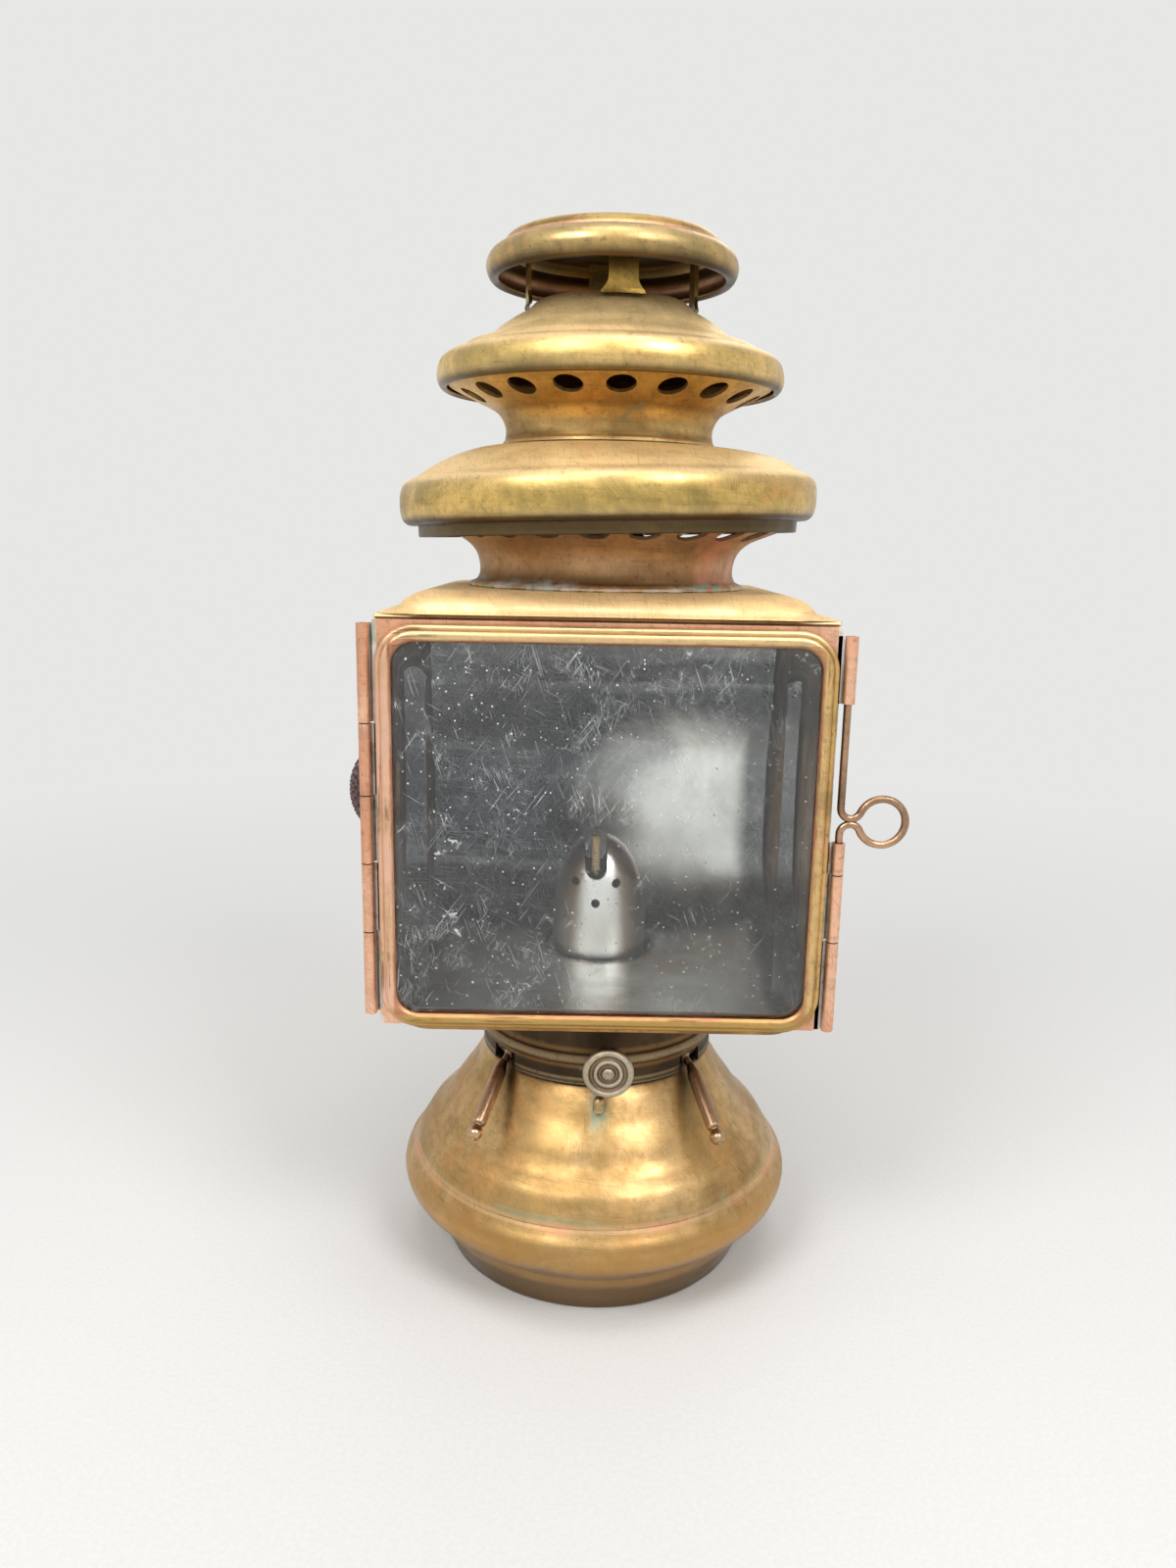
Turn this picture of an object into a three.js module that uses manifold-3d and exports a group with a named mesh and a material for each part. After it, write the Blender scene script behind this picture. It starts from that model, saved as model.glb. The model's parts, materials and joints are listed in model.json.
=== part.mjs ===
// A brass kerosene side lamp: a spun oil font with a flat-wick burner, a square glazed
// housing with a hinged door and a wire latch, and a chimney of two vented canopies.
// Millimetres, +Z up, the door faces -Y, and the origin is the centre of the font's foot.
import * as THREE from "three";
import { mergeVertices } from "three/addons/utils/BufferGeometryUtils.js";
import Module from "manifold-3d";

const wasm = await Module();
wasm.setup();

// ---------------------------------------------------------------- shared sizes
const GAP = 0.3; // left between separate pieces that touch
const SHEET = 0.9; // formed brass sheet
const ROUND = 28; // sides of the large spun shells
const FINE = 20; // sides of small turned pieces
const PIN_SIDES = 12; // sides of pins and hinge barrels
const EPS = 0.01; // tools overshoot a face by this much or more

// ---------------------------------------------------------------- oil font
const BEAD_R = 56.2; // widest ring of the font
const BEAD_Z = 22.5;
const BEAD_ROUND = 6.4; // radius of the bead's section
const FOOT_R = BEAD_R - 12.7;
const CONE_R = BEAD_R - 6; // where the foot cone meets the bead
const CONE_H = BEAD_Z - 8.5;
const SEAM_R = BEAD_R - 3.4; // soldered seam between pan and dome
const SEAM_Z = BEAD_Z + 7.3;
const DOME_H = 30.8; // seam to crown
const DOME_TOP_Z = SEAM_Z + DOME_H; // the dome's flat crown, where the neck stands
const DOME_MOUTH_R = 21.4; // opening for the burner
const NECK_R = 29.2; // upright font neck, gripped by the catches
const NECK_H = 13.4;
const NECK_TOP_Z = DOME_TOP_Z + NECK_H;
const STUD_R = 1.7; // locating stud on the dome's shoulder
const STUD_X = 0.6;
const STUD_Y = -NECK_R - 7.8; // just in front of the collar
const STUD_H = 7;

// ---------------------------------------------------------------- burner sizes
const WICK_W = 12.4; // wick width, along Y
const WICK_T = 2.6; // wick thickness, along X
const WICK_X = -1.2; // the wick stands a little left of the axis
const WICK_LOW_Z = 12;
const WICK_PROUD = 0.7; // wick that shows above the deflector
const TUBE_WALL = 0.6; // brass wick tube
const TUBE_SUNK = 9.6; // tube top below the deflector's
const TUBE_DROP = 8.6; // tube that hangs below the font's crown
const CAP_R = 13.2; // domed deflector
const CAP_H = 40.6;
const CAP_LOW_Z = DOME_TOP_Z + 20.4;
const CAP_TOP_Z = CAP_LOW_Z + CAP_H;
const CAP_STRAIGHT = 15.5; // height of the deflector's upright part
const CAP_SLOT_W = 6.2; // slot over the dome, in line with the wick
const CAP_SLOT_DEPTH = 11;
const CAP_SLOT_Z = CAP_TOP_Z - CAP_SLOT_DEPTH;
const CAP_HOLE_R = 1.2;
const CAP_HOLE_X = 5.6; // upper draught holes, beside the slot
const CAP_HOLE_DROP = 1; // upper and middle draught holes below the slot's foot
const CAP_HOLE_LOW = 6.2;
const WICK_TOP_Z = CAP_TOP_Z + WICK_PROUD;
const TUBE_TOP_Z = CAP_TOP_Z - TUBE_SUNK;
const TUBE_LOW_Z = DOME_TOP_Z - TUBE_DROP;
const BASE_SKIRT = 6; // screwed base below the crown
const BASE_RIM = 2.6;
const BASE_T = 1.2;
const GALLERY_R = 16.4; // upright gallery wall
const GALLERY_HOLES = 8;
const GALLERY_HOLE_R = 1.3;
const SHAFT_R = 1.1; // wick raiser shaft
const SHAFT_Z = DOME_TOP_Z + 8.1;
const RUN = 0.1; // radial running clearance before facets are counted
const LUG_T = 1.4; // lug that carries the shaft's inner end
const LUG_W = 4;
const LUG_H = 2.4;
const WHEEL_R = 2.4; // toothed wheels that bite the wick
const WHEEL_TEETH = 10;
const TOOTH_H = 0.7;
const WHEEL_W = 2.4;
const WHEEL_Y = 3.4;
const KNOB_R = 6.6;
const KNOB_Y = -44.4; // front of the knob
const KNOB_T = 2.4;

// ---------------------------------------------------------------- door opening and housing sizes
const OPENING_W = 100; // sight size of the door glass
const OPENING_H = 91.2;
const OPENING_LOW_Z = DOME_TOP_Z + 26.7; // the sill stands over the font
const OPENING_TOP_Z = OPENING_LOW_Z + OPENING_H;
const OPENING_CORNER = 5.6;
const BEZEL_LIP = 4; // bezel round the opening
const FLANGE_MARGIN = 0.6; // flange left showing beside the bezel
const FLANGE_W = OPENING_W + 2 * (BEZEL_LIP + FLANGE_MARGIN); // square-cornered front flange
const FLANGE_LAP = 2.6; // flange that stands out past the case
const CASE_W = FLANGE_W - 2 * FLANGE_LAP; // outside width of the folded case
const CASE_FRONT = -46; // front plane of the case
const CASE_BACK = 46;
const CASE_CORNER = 7; // rounded back corners
const CASE_LOW_Z = OPENING_LOW_Z - BEZEL_LIP - 0.1;
const CASE_TOP_Z = OPENING_TOP_Z + BEZEL_LIP + 0.9;
const PAN_DROP = 2.7; // pressed bottom pan under the case
const COLLAR_R = NECK_R + 3.8; // collar that slips over the font neck
const COLLAR_LOW_Z = DOME_TOP_Z - 0.6;
const COLLAR_BEAD_Z = COLLAR_LOW_Z + 7.4;
const COLLAR_BEAD = 1.1;
const COLLAR_RIM = 4; // turned-out rim under the pan
const ROOF_H = 6.1; // height of the roof cushion above the case
const ROOF_EDGE = CASE_W / 2 - 2; // half width where the cushion leaves its flange
const ROOF_TOP = ROOF_EDGE - 8.5; // half width of the flat top
const ROOF_CORNER = 8;
const ROOF_OVERHANG = 1.4; // roof flange behind the case
const FLOOR_Z = CASE_LOW_Z + 5.3; // lip of the burner hole in the silvered floor
const FLOOR_HOLE_R = 14.4;
const MIRROR_T = 0.8;
const MIRROR_BEND = 26; // sweep from the floor to the back
const MIRROR_BACK_Y = CASE_BACK - 13;
const MIRROR_DISH = 5.5; // rise of the mirror towards its sides
const JEWEL_Z = CASE_LOW_Z + 50.8; // side lens
const JEWEL_Y = -4;
const JEWEL_R = 13.4;
const JEWEL_SPHERE = 15.6;
const JEWEL_PROUD = 17.8; // lens tip beyond the case wall
const JEWEL_RIM = 1.6; // depth of the lens's seat
const JEWEL_TIP_X = -CASE_W / 2 - JEWEL_PROUD;
const SOCKET_W = 22; // sleeve on the back for a carriage bracket
const SOCKET_EAR = 9;
const SOCKET_DEPTH = 6;
const SOCKET_LOW_Z = CASE_LOW_Z + 28.8;
const SOCKET_H = 42;
const SOCKET_T = 1.5;
const RIVET_R = 1.3;
const RIVET_HEAD_R = 2.6;

// ---------------------------------------------------------------- door, hinge and latch sizes
const BEZEL_PROUD = 5; // front of the bezel before the case
const BEZEL_FRONT = CASE_FRONT - BEZEL_PROUD;
const BEZEL_CORNER = OPENING_CORNER + BEZEL_LIP - 0.1;
const GLASS_EDGE_T = 1.8;
const GLASS_T = 3.6; // thickness inside the bevel
const GLASS_LAP = 2.2; // glass behind the bezel's lip
const BEVEL = 8.2; // bevel width inside the sight line
const BARREL_X = FLANGE_W / 2 + 2.1; // hinge axis left, latch axis right
const BARREL_Y = CASE_FRONT - 1.3;
const BARREL_R = 1.6;
const PIN_R = 0.85;
const fromSill = (heights) => heights.map((up) => CASE_LOW_Z + up);
const HINGE_SPLITS = fromSill([3, 24.3, 41.6, 58.4, 75.9, 99.3]); // ends and joints of the five barrels
const WIRE_R = 0.95; // latch wire
const LATCH_TOP = fromSill([82.4, 98.2]); // upper guide barrel
const LATCH_GUIDE = fromSill([40.9, 48.7]); // lower guide barrel
const LATCH_KEEPER = fromSill([23.8, 40.6]); // barrel fixed to the case
const LATCH_FOOT = fromSill([0.4, 23.5]);
const LOOP_R = 5.9; // finger loop, to the middle of the wire
const LOOP_OUT = 10; // loop centre beyond the latch axis
const LOOP_Z = CASE_LOW_Z + 54;
const BEND_R = 2.5; // bends that lead into the loop

// ---------------------------------------------------------------- font catch sizes
const CATCH_ANGLE = 38.5; // degrees in front of the side, measured from the X axis
const CATCH_R = NECK_R + 1.7; // pivots' distance from the axis
const CATCH_Z = DOME_TOP_Z + 0.8;
const CATCH_H = 2.6;
const CATCH_T = 1.2;
const CATCH_SPAN = 33; // degrees of neck that an arm follows
const CATCH_SLOT_W = 9; // opening in the collar for each finger
const HUB_R = 1.45;
const PIVOT_R = 0.6;
const FINGER_R = 1.75;
const FINGER_START = [-2.02, -2.96, -1.2]; // finger's root, from the pivot at the arm's underside
const FINGER_REACH = [-6, NECK_R + 7.6 - SEAM_R, -12.2]; // root to tip, which hangs over the seam

// ---------------------------------------------------------------- chimney sizes
const roofTopZ = CASE_TOP_Z + GAP + ROOF_H;
const STACK_R = 33.7; // waist of the lower neck
const STACK_FLARE_R = STACK_R + 15.1;
const STACK_H = 15.6;
const STACK_VENTS = 22;
const STACK_VENT_R = 3.9;
const STACK_TURN = -4.9; // degrees that the vents are turned
const LOWER_R = STACK_FLARE_R + 6; // lower canopy
const LOWER_LIP = 2.7; // lip inside the rim that hangs over the vents
const LOWER_H = 19.1;
const LOWER_RIM_Z = roofTopZ + GAP + STACK_H + 0.7;
const LOWER_TOP_Z = LOWER_RIM_Z + LOWER_H;
const LOWER_LEAN = 1.7; // degrees that the bent rim drops to the left
const UPPER_NECK_R = 27.1;
const UPPER_FLARE_R = UPPER_NECK_R + 15.1;
const UPPER_NECK_H = 14.9;
const UPPER_VENTS = 18;
const UPPER_VENT_R = 3.6;
const UPPER_TURN = 3.5;
const UPPER_R = UPPER_FLARE_R + 2.8; // upper canopy
const UPPER_H = 19.1;
const UPPER_RIM_Z = LOWER_TOP_Z + GAP + UPPER_NECK_H - 1.4;
const UPPER_CROWN_Z = UPPER_RIM_Z + UPPER_H;
const UPPER_MOUTH_R = 19.6;
const STRAP_W = 7.2; // four straps that carry the cap
const STRAP_FOOT_W = 11;
const STRAP_R = UPPER_MOUTH_R + 2;
const STRAP_TURN = 6.5; // degrees that the straps are turned from the front
const CAP_RISE = 18.4; // chimney cap above the upper crown
const TOP_R = 32.3; // chimney cap
const TOP_H = 10.6;
const TOP_Z = UPPER_CROWN_Z + CAP_RISE;
const TOP_RIM_Z = TOP_Z - TOP_H;

// ---------------------------------------------------------------- materials
const material = (color, roughness, metalness) =>
  new THREE.MeshStandardMaterial({ color, roughness, metalness });
const brass = () => material(0xb58a3c, 0.35, 1);
const darkBrass = () => material(0x8a6231, 0.5, 1);
const copper = () => material(0xc07a52, 0.42, 1);
const silvered = () => material(0xb9bcc0, 0.22, 1);
const nickel = () => material(0xa8a294, 0.3, 1);
const iron = () => material(0x4a4038, 0.7, 1);
const cotton = () => material(0xc9a46a, 0.95, 0);
const clearGlass = () =>
  new THREE.MeshStandardMaterial({ color: 0xdfe9ea, roughness: 0.05, transparent: true, opacity: 0.3 });
const darkGlass = () => material(0x2a0a0c, 0.1, 0);

// ---------------------------------------------------------------- solid tools
function volumeOf(geometry) {
  const p = geometry.attributes.position;
  const index = geometry.index.array;
  const [a, b, c] = [new THREE.Vector3(), new THREE.Vector3(), new THREE.Vector3()];
  let sum = 0;
  for (let i = 0; i < index.length; i += 3) {
    a.fromBufferAttribute(p, index[i]);
    b.fromBufferAttribute(p, index[i + 1]);
    c.fromBufferAttribute(p, index[i + 2]);
    sum += a.dot(b.cross(c)) / 6;
  }
  return sum;
}

// Merge shared corners, drop triangles that have closed up, and face the surface outwards.
function closed(geometry) {
  geometry.deleteAttribute("normal");
  geometry.deleteAttribute("uv");
  const merged = mergeVertices(geometry, 1e-4);
  const old = merged.index.array;
  const kept = [];
  for (let i = 0; i < old.length; i += 3) {
    const [a, b, c] = [old[i], old[i + 1], old[i + 2]];
    if (a !== b && b !== c && c !== a) kept.push(a, b, c);
  }
  merged.setIndex(kept);
  if (volumeOf(merged) < 0) {
    for (let i = 0; i < kept.length; i += 3) [kept[i], kept[i + 1]] = [kept[i + 1], kept[i]];
    merged.setIndex(kept);
  }
  return merged;
}

function toSolid(geometry) {
  const mesh = new wasm.Mesh({
    numProp: 3,
    vertProperties: new Float32Array(geometry.attributes.position.array),
    triVerts: new Uint32Array(geometry.index.array),
  });
  return new wasm.Manifold(mesh);
}

function toGeometry(solid) {
  const mesh = solid.getMesh();
  const geometry = new THREE.BufferGeometry();
  geometry.setAttribute("position", new THREE.BufferAttribute(new Float32Array(mesh.vertProperties), 3));
  geometry.setIndex(Array.from(mesh.triVerts));
  return geometry;
}

function join(...pieces) {
  return toGeometry(pieces.map(toSolid).reduce((sum, piece) => sum.add(piece)));
}

function cut(base, ...tools) {
  return toGeometry(tools.map(toSolid).reduce((left, tool) => left.subtract(tool), toSolid(base)));
}

// ---------------------------------------------------------------- shape tools
const radians = THREE.MathUtils.degToRad;

// Revolve [radius, z] points about Z.
function lathe(points, sides = ROUND) {
  const profile = points.map(([r, z]) => new THREE.Vector2(r, z));
  return closed(new THREE.LatheGeometry(profile, sides).rotateX(Math.PI / 2));
}

// A spun wall: the given outer profile, thickened towards its left-hand side.
// A plain inside keeps every other point.
function wall(outer, plain = false) {
  const offset = outer.map(([r, z], i) => {
    const before = outer[Math.max(i - 1, 0)];
    const after = outer[Math.min(i + 1, outer.length - 1)];
    const length = Math.hypot(after[0] - before[0], after[1] - before[1]);
    const nr = -(after[1] - before[1]) / length;
    const nz = (after[0] - before[0]) / length;
    return [Math.max(r + nr * SHEET, 0), z + nz * SHEET];
  });
  const inner = offset.filter((_, i) => !plain || i % 2 === 0 || i === outer.length - 1);
  if (outer[0][0] === 0) return [...outer, ...inner.reverse()];
  if (outer.at(-1)[0] === 0) return [...inner.reverse(), ...outer];
  return [...outer, ...inner.reverse(), outer[0]];
}

// Points of an arc in a profile, from one angle to another in degrees.
function arc(cx, cz, radius, from, to, steps) {
  return Array.from({ length: steps + 1 }, (_, i) => {
    const angle = radians(from + ((to - from) * i) / steps);
    return [cx + radius * Math.cos(angle), cz + radius * Math.sin(angle)];
  });
}

// Points of an elliptical quarter or part of one.
function ellipse(cx, cz, rx, rz, from, to, steps) {
  return arc(0, 0, 1, from, to, steps).map(([x, z]) => [cx + rx * x, cz + rz * z]);
}

// A round bar along Z, turned afterwards where it lies another way.
function bar(radius, from, to, sides = PIN_SIDES) {
  return closed(new THREE.CylinderGeometry(radius, radius, to - from, sides).rotateX(Math.PI / 2))
    .translate(0, 0, (from + to) / 2);
}

function turnFromZ(direction) {
  const up = new THREE.Vector3(0, 0, 1);
  return new THREE.Quaternion().setFromUnitVectors(up, direction.clone().normalize());
}

function barBetween(a, b, radius, sides = PIN_SIDES) {
  const [start, end] = [new THREE.Vector3(...a), new THREE.Vector3(...b)];
  const direction = end.clone().sub(start);
  const turn = turnFromZ(direction);
  return bar(radius, 0, direction.length(), sides).applyQuaternion(turn).translate(...a);
}

function block(x0, x1, y0, y1, z0, z1) {
  return closed(new THREE.BoxGeometry(x1 - x0, y1 - y0, z1 - z0))
    .translate((x0 + x1) / 2, (y0 + y1) / 2, (z0 + z1) / 2);
}

// A rounded rectangle as [u, v] points, anticlockwise.
function roundedRect(u0, u1, v0, v1, radius, steps = 4) {
  const corners = [[u1 - radius, v0 + radius, -90], [u1 - radius, v1 - radius, 0],
    [u0 + radius, v1 - radius, 90], [u0 + radius, v0 + radius, 180]];
  return corners.flatMap(([cu, cv, start]) => arc(cu, cv, radius, start, start + 90, steps));
}

// Skin a stack of loops that hold the same number of points.
// A ring closes on itself, and a stack gets two ends.
function skin(loops, ring = false) {
  const n = loops[0].length;
  const position = loops.flat(2);
  const index = [];
  const rows = ring ? loops.length : loops.length - 1;
  for (let row = 0; row < rows; row++) {
    const next = (row + 1) % loops.length;
    for (let i = 0; i < n; i++) {
      const j = (i + 1) % n;
      index.push(row * n + i, row * n + j, next * n + j);
      index.push(row * n + i, next * n + j, next * n + i);
    }
  }
  if (!ring) {
    const last = (loops.length - 1) * n;
    for (let i = 1; i < n - 1; i++) {
      index.push(0, i + 1, i);
      index.push(last, last + i, last + i + 1);
    }
  }
  return fromLists(position, index);
}

function fromLists(position, index) {
  const geometry = new THREE.BufferGeometry();
  geometry.setAttribute("position", new THREE.Float32BufferAttribute(position, 3));
  geometry.setIndex(index);
  return closed(geometry);
}

// A rounded rectangle in a plane across Y, inset from a sight opening or an outline.
const uprightLoop = (halfWidth, low, high, corner, y, steps) =>
  roundedRect(-halfWidth, halfWidth, low, high, corner, steps).map(([x, z]) => [x, y, z]);

// A rounded rectangle in a level plane.
const levelLoop = (halfX, front, back, corner, z, steps) =>
  roundedRect(-halfX, halfX, front, back, corner, steps).map(([x, y]) => [x, y, z]);

// A flat plate across Y with one outline.
function plate(outline, y0, y1) {
  const shape = new THREE.Shape(outline.map(([x, z]) => new THREE.Vector2(x, z)));
  const geometry = new THREE.ExtrudeGeometry(shape, { depth: y1 - y0, bevelEnabled: false });
  return closed(geometry.rotateX(Math.PI / 2)).translate(0, y1, 0);
}

// ---------------------------------------------------------------- oil font
// The dome's shoulder as [inward, up] from its seam, drawn 23.6 deep and 30.8 high, then stretched to size.
const shoulderDrawn = [[1.8, 3.2], [4.4, 7.4], [7.9, 11], [11.2, 15.4], [15.4, 21.4], [19.4, 27.8]];
const [shoulderIn, shoulderUp] = [(SEAM_R - NECK_R) / 23.6, DOME_H / 30.8];
const domeShoulder = [
  [SEAM_R - 0.4, SEAM_Z + GAP],
  ...shoulderDrawn.map(([inward, up]) => [SEAM_R - inward * shoulderIn, SEAM_Z + up * shoulderUp]),
];

function fontPan() {
  const foot = [[0, 0], [FOOT_R - 1, 0], [FOOT_R, 0.8], [CONE_R, CONE_H]];
  const bead = arc(BEAD_R - BEAD_ROUND, BEAD_Z, BEAD_ROUND, -60, 55, 4);
  return lathe(wall([...foot, ...bead, [SEAM_R, SEAM_Z]]));
}

function fontDome() {
  const crown = [[NECK_R + 2.4, DOME_TOP_Z - 0.9], [NECK_R, DOME_TOP_Z], [DOME_MOUTH_R, DOME_TOP_Z]];
  return lathe(wall([...domeShoulder, ...crown], true));
}

function fontNeck() {
  const inner = NECK_R - SHEET;
  const low = DOME_TOP_Z + GAP;
  const section = [[inner, low], [NECK_R, low], [NECK_R, NECK_TOP_Z], [inner, NECK_TOP_Z], [inner, low]];
  const ring = lathe(section);
  const shaftHole = turnAlongY(bar(SHAFT_R + 0.5, 0, NECK_R + 5)).translate(shaftX, 0, SHAFT_Z);
  return cut(ring, shaftHole);
}

// Height of the dome's outside at a radius, read along its profile.
function domeHeight(radius) {
  for (let i = 1; i < domeShoulder.length; i++) {
    const [r0, z0] = domeShoulder[i - 1];
    const [r1, z1] = domeShoulder[i];
    if (radius <= r0 && radius >= r1) return z0 + ((z1 - z0) * (r0 - radius)) / (r0 - r1);
  }
  return DOME_TOP_Z;
}

function locatingStud() {
  const low = domeHeight(-STUD_Y - STUD_R) + GAP;
  const top = domeHeight(-STUD_Y) + STUD_H;
  const tip = arc(0, top - STUD_R, STUD_R, 30, 90, 2);
  const profile = [[0, low], [STUD_R, low], [STUD_R, top - STUD_R], ...tip];
  return lathe(profile, PIN_SIDES).translate(STUD_X, STUD_Y, 0);
}

// ---------------------------------------------------------------- burner
const shaftX = WICK_X + WICK_T / 2 + GAP / 2 + WHEEL_R;
const tubeInner = [WICK_T / 2 + GAP, WICK_W / 2 + GAP];
const tubeOuter = tubeInner.map((half) => half + TUBE_WALL);
const lugY = tubeOuter[1] + 3 * GAP;

function wickTube() {
  const loop = ([x, y], z) => levelLoop(x, -y, y, 0.9, z, 2);
  const outside = skin([loop(tubeOuter, TUBE_LOW_Z), loop(tubeOuter, TUBE_TOP_Z)]);
  const inside = skin([loop(tubeInner, TUBE_LOW_Z - 1), loop(tubeInner, TUBE_TOP_Z + 1)]);
  const half = WHEEL_W / 2 + GAP;
  const window = (y) => block(0, tubeOuter[0] + 1, y - half, y + half, SHAFT_Z - WHEEL_R, SHAFT_Z + WHEEL_R);
  return cut(outside, inside, window(-WHEEL_Y), window(WHEEL_Y)).translate(WICK_X, 0, 0);
}

function wick() {
  const loop = (z) => levelLoop(WICK_T / 2, -WICK_W / 2, WICK_W / 2, 0.8, z, 2);
  return skin([loop(WICK_LOW_Z), loop(WICK_TOP_Z)]).translate(WICK_X, 0, 0);
}

// Screwed base with a slot for the wick tube and a lug that carries the shaft's inner end.
function burnerBase() {
  const low = DOME_TOP_Z - BASE_SKIRT;
  const flange = DOME_TOP_Z + GAP;
  const top = flange + BASE_T;
  const skirt = DOME_MOUTH_R - 2 * GAP;
  const bore = skirt - 2;
  const disc = lathe([[0, flange], [bore, flange], [bore, low], [skirt, low], [skirt, flange],
    [skirt + BASE_RIM, flange], [skirt + BASE_RIM, top], [0, top]]);
  const [slotX, slotY] = tubeOuter.map((half) => half + GAP);
  const slot = block(WICK_X - slotX, WICK_X + slotX, -slotY, slotY, low - 1, top + 1);
  const lug = block(shaftX - LUG_W / 2, shaftX + LUG_W / 2, lugY, lugY + LUG_T, top - 0.7, SHAFT_Z + LUG_H);
  const lugHole = bar(SHAFT_R + RUN, -EPS, LUG_T + 2, 16).rotateX(-Math.PI / 2);
  return cut(join(cut(disc, slot), lug), lugHole.translate(shaftX, lugY - 0.5, SHAFT_Z));
}

// Perforated gallery: an upright wall that closes in on the deflector.
function burnerGallery() {
  const low = DOME_TOP_Z + 2 * GAP + BASE_T;
  const shoulder = CAP_LOW_Z - 5.5;
  const throat = CAP_R - SHEET - GAP;
  const outer = [[GALLERY_R, low], [GALLERY_R, shoulder], [GALLERY_R - 1.2, shoulder + 2.4],
    [throat, CAP_LOW_Z - 1.2], [throat, CAP_LOW_Z + 4]];
  const shell = lathe(wall(outer), 2 * GALLERY_HOLES);
  const shaftHole = turnAlongY(bar(SHAFT_R + RUN, 0, GALLERY_R + 2, 16)).translate(shaftX, 0, SHAFT_Z);
  const vents = Array.from({ length: GALLERY_HOLES / 2 }, (_, i) =>
    turnAlongY(bar(GALLERY_HOLE_R, -GALLERY_R - 2, GALLERY_R + 2, 8))
      .rotateZ((Math.PI * 2 * (i + 0.25)) / GALLERY_HOLES).translate(0, 0, shoulder - 2.2));
  return cut(shell, shaftHole, ...vents);
}

// Domed deflector: a bullet-shaped cap slotted over the wick, with small draught holes.
function burnerCap() {
  const straight = CAP_LOW_Z + CAP_STRAIGHT;
  const dome = ellipse(0, straight, CAP_R, CAP_TOP_Z - straight, 0, 90, 7);
  const shell = lathe(wall([[CAP_R, CAP_LOW_Z], ...dome.slice(0, -1), [0, CAP_TOP_Z]], true), FINE);
  const slotR = CAP_SLOT_W / 2;
  const through = CAP_R + 2;
  const slotCut = join(
    turnAlongY(bar(slotR, -through, through, 16)).translate(WICK_X, 0, CAP_SLOT_Z + slotR),
    block(WICK_X - slotR, WICK_X + slotR, -through, through, CAP_SLOT_Z + slotR, CAP_TOP_Z + 5),
  );
  const places = [[-CAP_HOLE_X, CAP_HOLE_DROP], [CAP_HOLE_X, CAP_HOLE_DROP], [0, CAP_HOLE_LOW]];
  const holes = places.map(([x, drop]) =>
    turnAlongY(bar(CAP_HOLE_R, -through, through, 10)).translate(WICK_X + x, 0, CAP_SLOT_Z - drop));
  return cut(shell, slotCut, ...holes);
}

const turnAlongY = (geometry) => geometry.rotateX(Math.PI / 2);

// The raiser shaft runs from the lug behind the wick tube to the knob in front of the collar.
function raiserShaft() {
  const back = lugY + LUG_T + 0.8;
  return turnAlongY(bar(SHAFT_R, -back, -KNOB_Y - KNOB_T - 0.8 - GAP, 16)).translate(shaftX, 0, SHAFT_Z);
}

// A spur wheel with sharp teeth, bored for the shaft.
function spurWheel(y) {
  const outline = Array.from({ length: WHEEL_TEETH * 2 }, (_, i) => {
    const radius = i % 2 ? WHEEL_R - TOOTH_H : WHEEL_R;
    const angle = (Math.PI * i) / WHEEL_TEETH;
    return [radius * Math.cos(angle), radius * Math.sin(angle)];
  });
  const wheel = plate(outline, y - WHEEL_W / 2, y + WHEEL_W / 2);
  const bore = turnAlongY(bar(SHAFT_R + GAP / 2, -y - WHEEL_W, -y + WHEEL_W, 12));
  return cut(wheel, bore).translate(shaftX, 0, SHAFT_Z);
}

// Pressed knob: a dished disc with two rings and a raised centre, and a bored boss behind.
function wickKnob() {
  const [r, front] = [KNOB_R, -KNOB_Y];
  const back = front - KNOB_T;
  const bossR = SHAFT_R + 1.3;
  const bore = SHAFT_R + 0.2;
  const boss = lathe([[0, back + 0.5], [bossR, back + 0.5], [bossR, back - 1.6], [bore, back - 1.6],
    [bore, back - 0.7], [0, back - 0.7]], FINE);
  const disc = lathe([[0, back + 0.2], [r - 0.6, back + 0.2], [r, back + 0.9], [r, front - 0.5],
    [r - 0.7, front], [r - 1.5, front], [r - 1.9, front - 0.7], [r - 3, front - 0.7], [r - 3.5, front - 0.1],
    [r - 4.4, front - 0.8], [1.7, front - 0.8], [1.3, front + 0.3], [0, front + 0.4]], FINE);
  return turnAlongY(join(disc, boss)).translate(shaftX, 0, SHAFT_Z);
}

// ---------------------------------------------------------------- housing shell
const caseHalf = CASE_W / 2;
const flangeHalf = FLANGE_W / 2;

// Left, back and right walls as one folded sheet.
function caseWalls() {
  const front = CASE_FRONT + SHEET + GAP;
  const loop = (inset, z) =>
    levelLoop(caseHalf - inset, front - 20, CASE_BACK - inset, CASE_CORNER - inset, z, 5);
  const low = CASE_LOW_Z + GAP;
  const high = CASE_TOP_Z - GAP;
  const outside = skin([loop(0, low), loop(0, high)]);
  const inside = skin([loop(SHEET, low - 1), loop(SHEET, high + 1)]);
  const mouth = block(-caseHalf - 5, caseHalf + 5, front - 30, front, low - 2, high + 2);
  const jewelHole = turnAlongX(bar(JEWEL_R - 2.4, -CASE_W, 0, FINE)).translate(0, JEWEL_Y, JEWEL_Z);
  return cut(outside, inside, mouth, jewelHole);
}

// Bars made along Z are laid along X.
function turnAlongX(geometry) {
  return geometry.rotateY(Math.PI / 2);
}

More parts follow.
